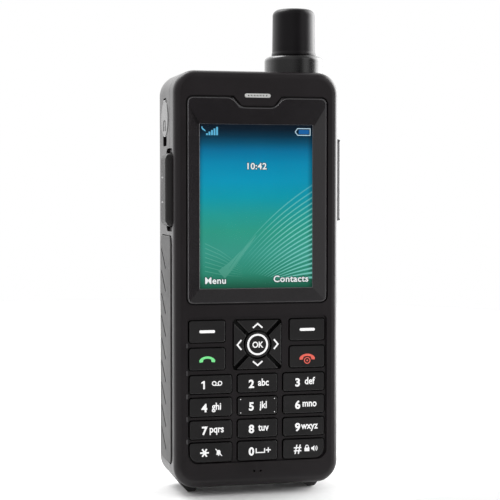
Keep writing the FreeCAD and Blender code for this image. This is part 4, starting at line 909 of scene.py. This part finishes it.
def make_battery_label():
    """A pale label on the battery with a polarity mark and a plain description of the cell."""
    centre, _, high = middle("battery_pack")
    paper = printed("label_paper", linear(196, 198, 200))
    label = Ink((centre.x, high.y, centre.z), BACK, thickness=LABEL_INK)
    label.box(*LABEL, corner=1.2, lift=-LABEL_INK / 2)
    label.finish("battery_label", "body", paper, "battery_wrap")
    words = Ink((centre.x, high.y + LABEL_INK / 2, centre.z), BACK)
    words.text("Li-ion battery", 2.2, LABEL_LEFT, 7.0, align="LEFT")
    words.text("3.7 V", 3.4, LABEL_LEFT, 0.5, weight=0.08, align="LEFT")
    for row in range(LINES):
        foot = LINE_FOOT - LINE_PITCH * row
        words.box(LABEL_LEFT, LABEL_RIGHT - LINE_SHORTER * row, foot, foot + LINE_HEIGHT)
    words.stroke([(PLUS_U - PLUS_HALF, PLUS_V), (PLUS_U + PLUS_HALF, PLUS_V)], LINE_HEIGHT, rounded=False)
    upright = [(PLUS_U, PLUS_V - PLUS_HALF), (PLUS_U, PLUS_V + PLUS_HALF)]
    words.stroke(upright, LINE_HEIGHT, rounded=False, lift=0.002)
    words.finish("battery_label_print", "body", printed("label_ink", linear(30, 32, 36)), "battery_wrap")


# ---------------------------------------------------------------------- stage, light and camera

FLOOR_RADIUS, FLOOR_PLACE = 0.45, (0, 0.415, -0.0002)
CAMERA_PLACE, CAMERA_AIM = (-0.1165, -0.4702, 0.0976), (-0.00263, -0.0135, 0.07989)
CAMERA_LENS, CAMERA_SENSOR = 104.26, 36.0


def make_floor():
    """A round sheet of plain paper under the phone, most of it behind."""
    floor = bmesh.new()
    bmesh.ops.create_circle(floor, cap_ends=True, segments=64, radius=FLOOR_RADIUS)
    data = bpy.data.meshes.new("floor")
    floor.to_mesh(data)
    floor.free()
    made = Nodes("floor_paper")
    tooth = made.noise(3, detail=5)
    made.link(made.ramp(tooth, [(0.3, grey(244)), (0.7, grey(249))]), made.shader.inputs["Base Color"])
    made.link(made.span(tooth, 0.3, 0.7, 0.85, 0.95), made.shader.inputs["Roughness"])
    data.materials.append(made.material)
    floor_object = bpy.data.objects.new("floor", data)
    floor_object.location = FLOOR_PLACE
    bpy.context.scene.collection.objects.link(floor_object)


def studio_glow(tree):
    """How bright the studio is in each direction: from behind, above and below, softly from the left,
    strongly from a patch on the right, and from a strip at the front right."""
    direction = tree.nodes.new("ShaderNodeTexCoord").outputs["Generated"]
    parts = tree.nodes.new("ShaderNodeSeparateXYZ")
    tree.links.new(direction, parts.inputs["Vector"])

    def rise(letter, low, high, to_low, to_high):
        """A strength that changes smoothly with one part of the direction."""
        node = tree.nodes.new("ShaderNodeMapRange")
        node.interpolation_type = "SMOOTHSTEP"
        for socket, number in zip(RANGE_SOCKETS, (low, high, to_low, to_high)):
            node.inputs[socket].default_value = number
        tree.links.new(parts.outputs[letter], node.inputs["Value"])
        return node.outputs["Result"]

    def join(kind, first, second):
        node = tree.nodes.new("ShaderNodeMath")
        node.operation = kind
        tree.links.new(first, node.inputs[0])
        tree.links.new(second, node.inputs[1])
        return node.outputs["Value"]

    def add(first, second):
        return join("ADD", first, second)

    def multiply(first, second):
        return join("MULTIPLY", first, second)

    right = multiply(rise("X", 0.5, 0.95, 0.0, 8.5), rise("Y", -0.34, 0.02, 0.0, 1.0))
    sides = add(rise("X", 0.3, -0.45, 0.0, 0.43), right)
    above = multiply(rise("Z", 0.08, 0.5, 0.0, 1.0), rise("Y", 0.2, 0.7, 0.2, 1.0))
    ends = add(above, rise("Z", -0.2, -0.5, 0.0, 0.65))
    strip = multiply(rise("X", 0.26, 0.5, 0.0, 1.0), rise("X", 0.84, 0.64, 0.0, 1.0))
    strip = multiply(strip, rise("Y", -0.3, -0.6, 0.0, 1.0))
    return add(add(rise("Y", -0.25, 0.7, 0.07, 1.15), sides), add(ends, strip))


def make_world():
    """A studio that lights the phone by its glow and that the camera sees as plain white."""
    world = bpy.data.worlds.new("studio")
    bpy.context.scene.world = world
    world.use_nodes = True
    tree = world.node_tree
    background = tree.nodes["Background"]
    ray = tree.nodes.new("ShaderNodeLightPath")
    seen = tree.nodes.new("ShaderNodeMix")
    tree.links.new(ray.outputs["Is Camera Ray"], seen.inputs[MIX_FACTOR])
    tree.links.new(studio_glow(tree), seen.inputs[MIX_LOW])
    seen.inputs[MIX_HIGH].default_value = 1.0
    tree.links.new(seen.outputs[MIX_NUMBER], background.inputs["Strength"])
    background.inputs["Color"].default_value = (1.0, 1.0, 1.0, 1.0)


def soft_light(name, place, aim, size, power):
    """A round area light that the camera doesn't see."""
    lamp = bpy.data.lights.new(name, "AREA")
    lamp.shape = "DISK"
    lamp.size = size
    lamp.energy = power
    made = bpy.data.objects.new(name, lamp)
    bpy.context.scene.collection.objects.link(made)
    made.location = place
    made.rotation_euler = (Vector(aim) - Vector(place)).to_track_quat("-Z", "Y").to_euler()
    made.visible_camera = False


def make_camera():
    """The camera stands where the photograph's seems to have stood."""
    camera = bpy.data.cameras.new("camera")
    camera.sensor_width = CAMERA_SENSOR
    camera.lens = CAMERA_LENS
    made = bpy.data.objects.new("camera", camera)
    bpy.context.scene.collection.objects.link(made)
    made.location = CAMERA_PLACE
    made.rotation_euler = (Vector(CAMERA_AIM) - made.location).to_track_quat("-Z", "Y").to_euler()
    camera.clip_start, camera.clip_end = 0.01, 20.0
    bpy.context.scene.camera = made


dress_cad()
make_wallpaper()
make_screen_words()
make_status_icons()
make_digit_print()
make_call_print()
make_navigation_print()
make_trim()
make_field_edge()
make_side_marks()
make_battery_label()
make_floor()
make_world()
soft_light("key_light", place=(-0.4, 0.5, 1.1), aim=(0, 0, 0.05), size=0.6, power=6.0)
make_camera()
bpy.context.scene.view_settings.view_transform = "Standard"
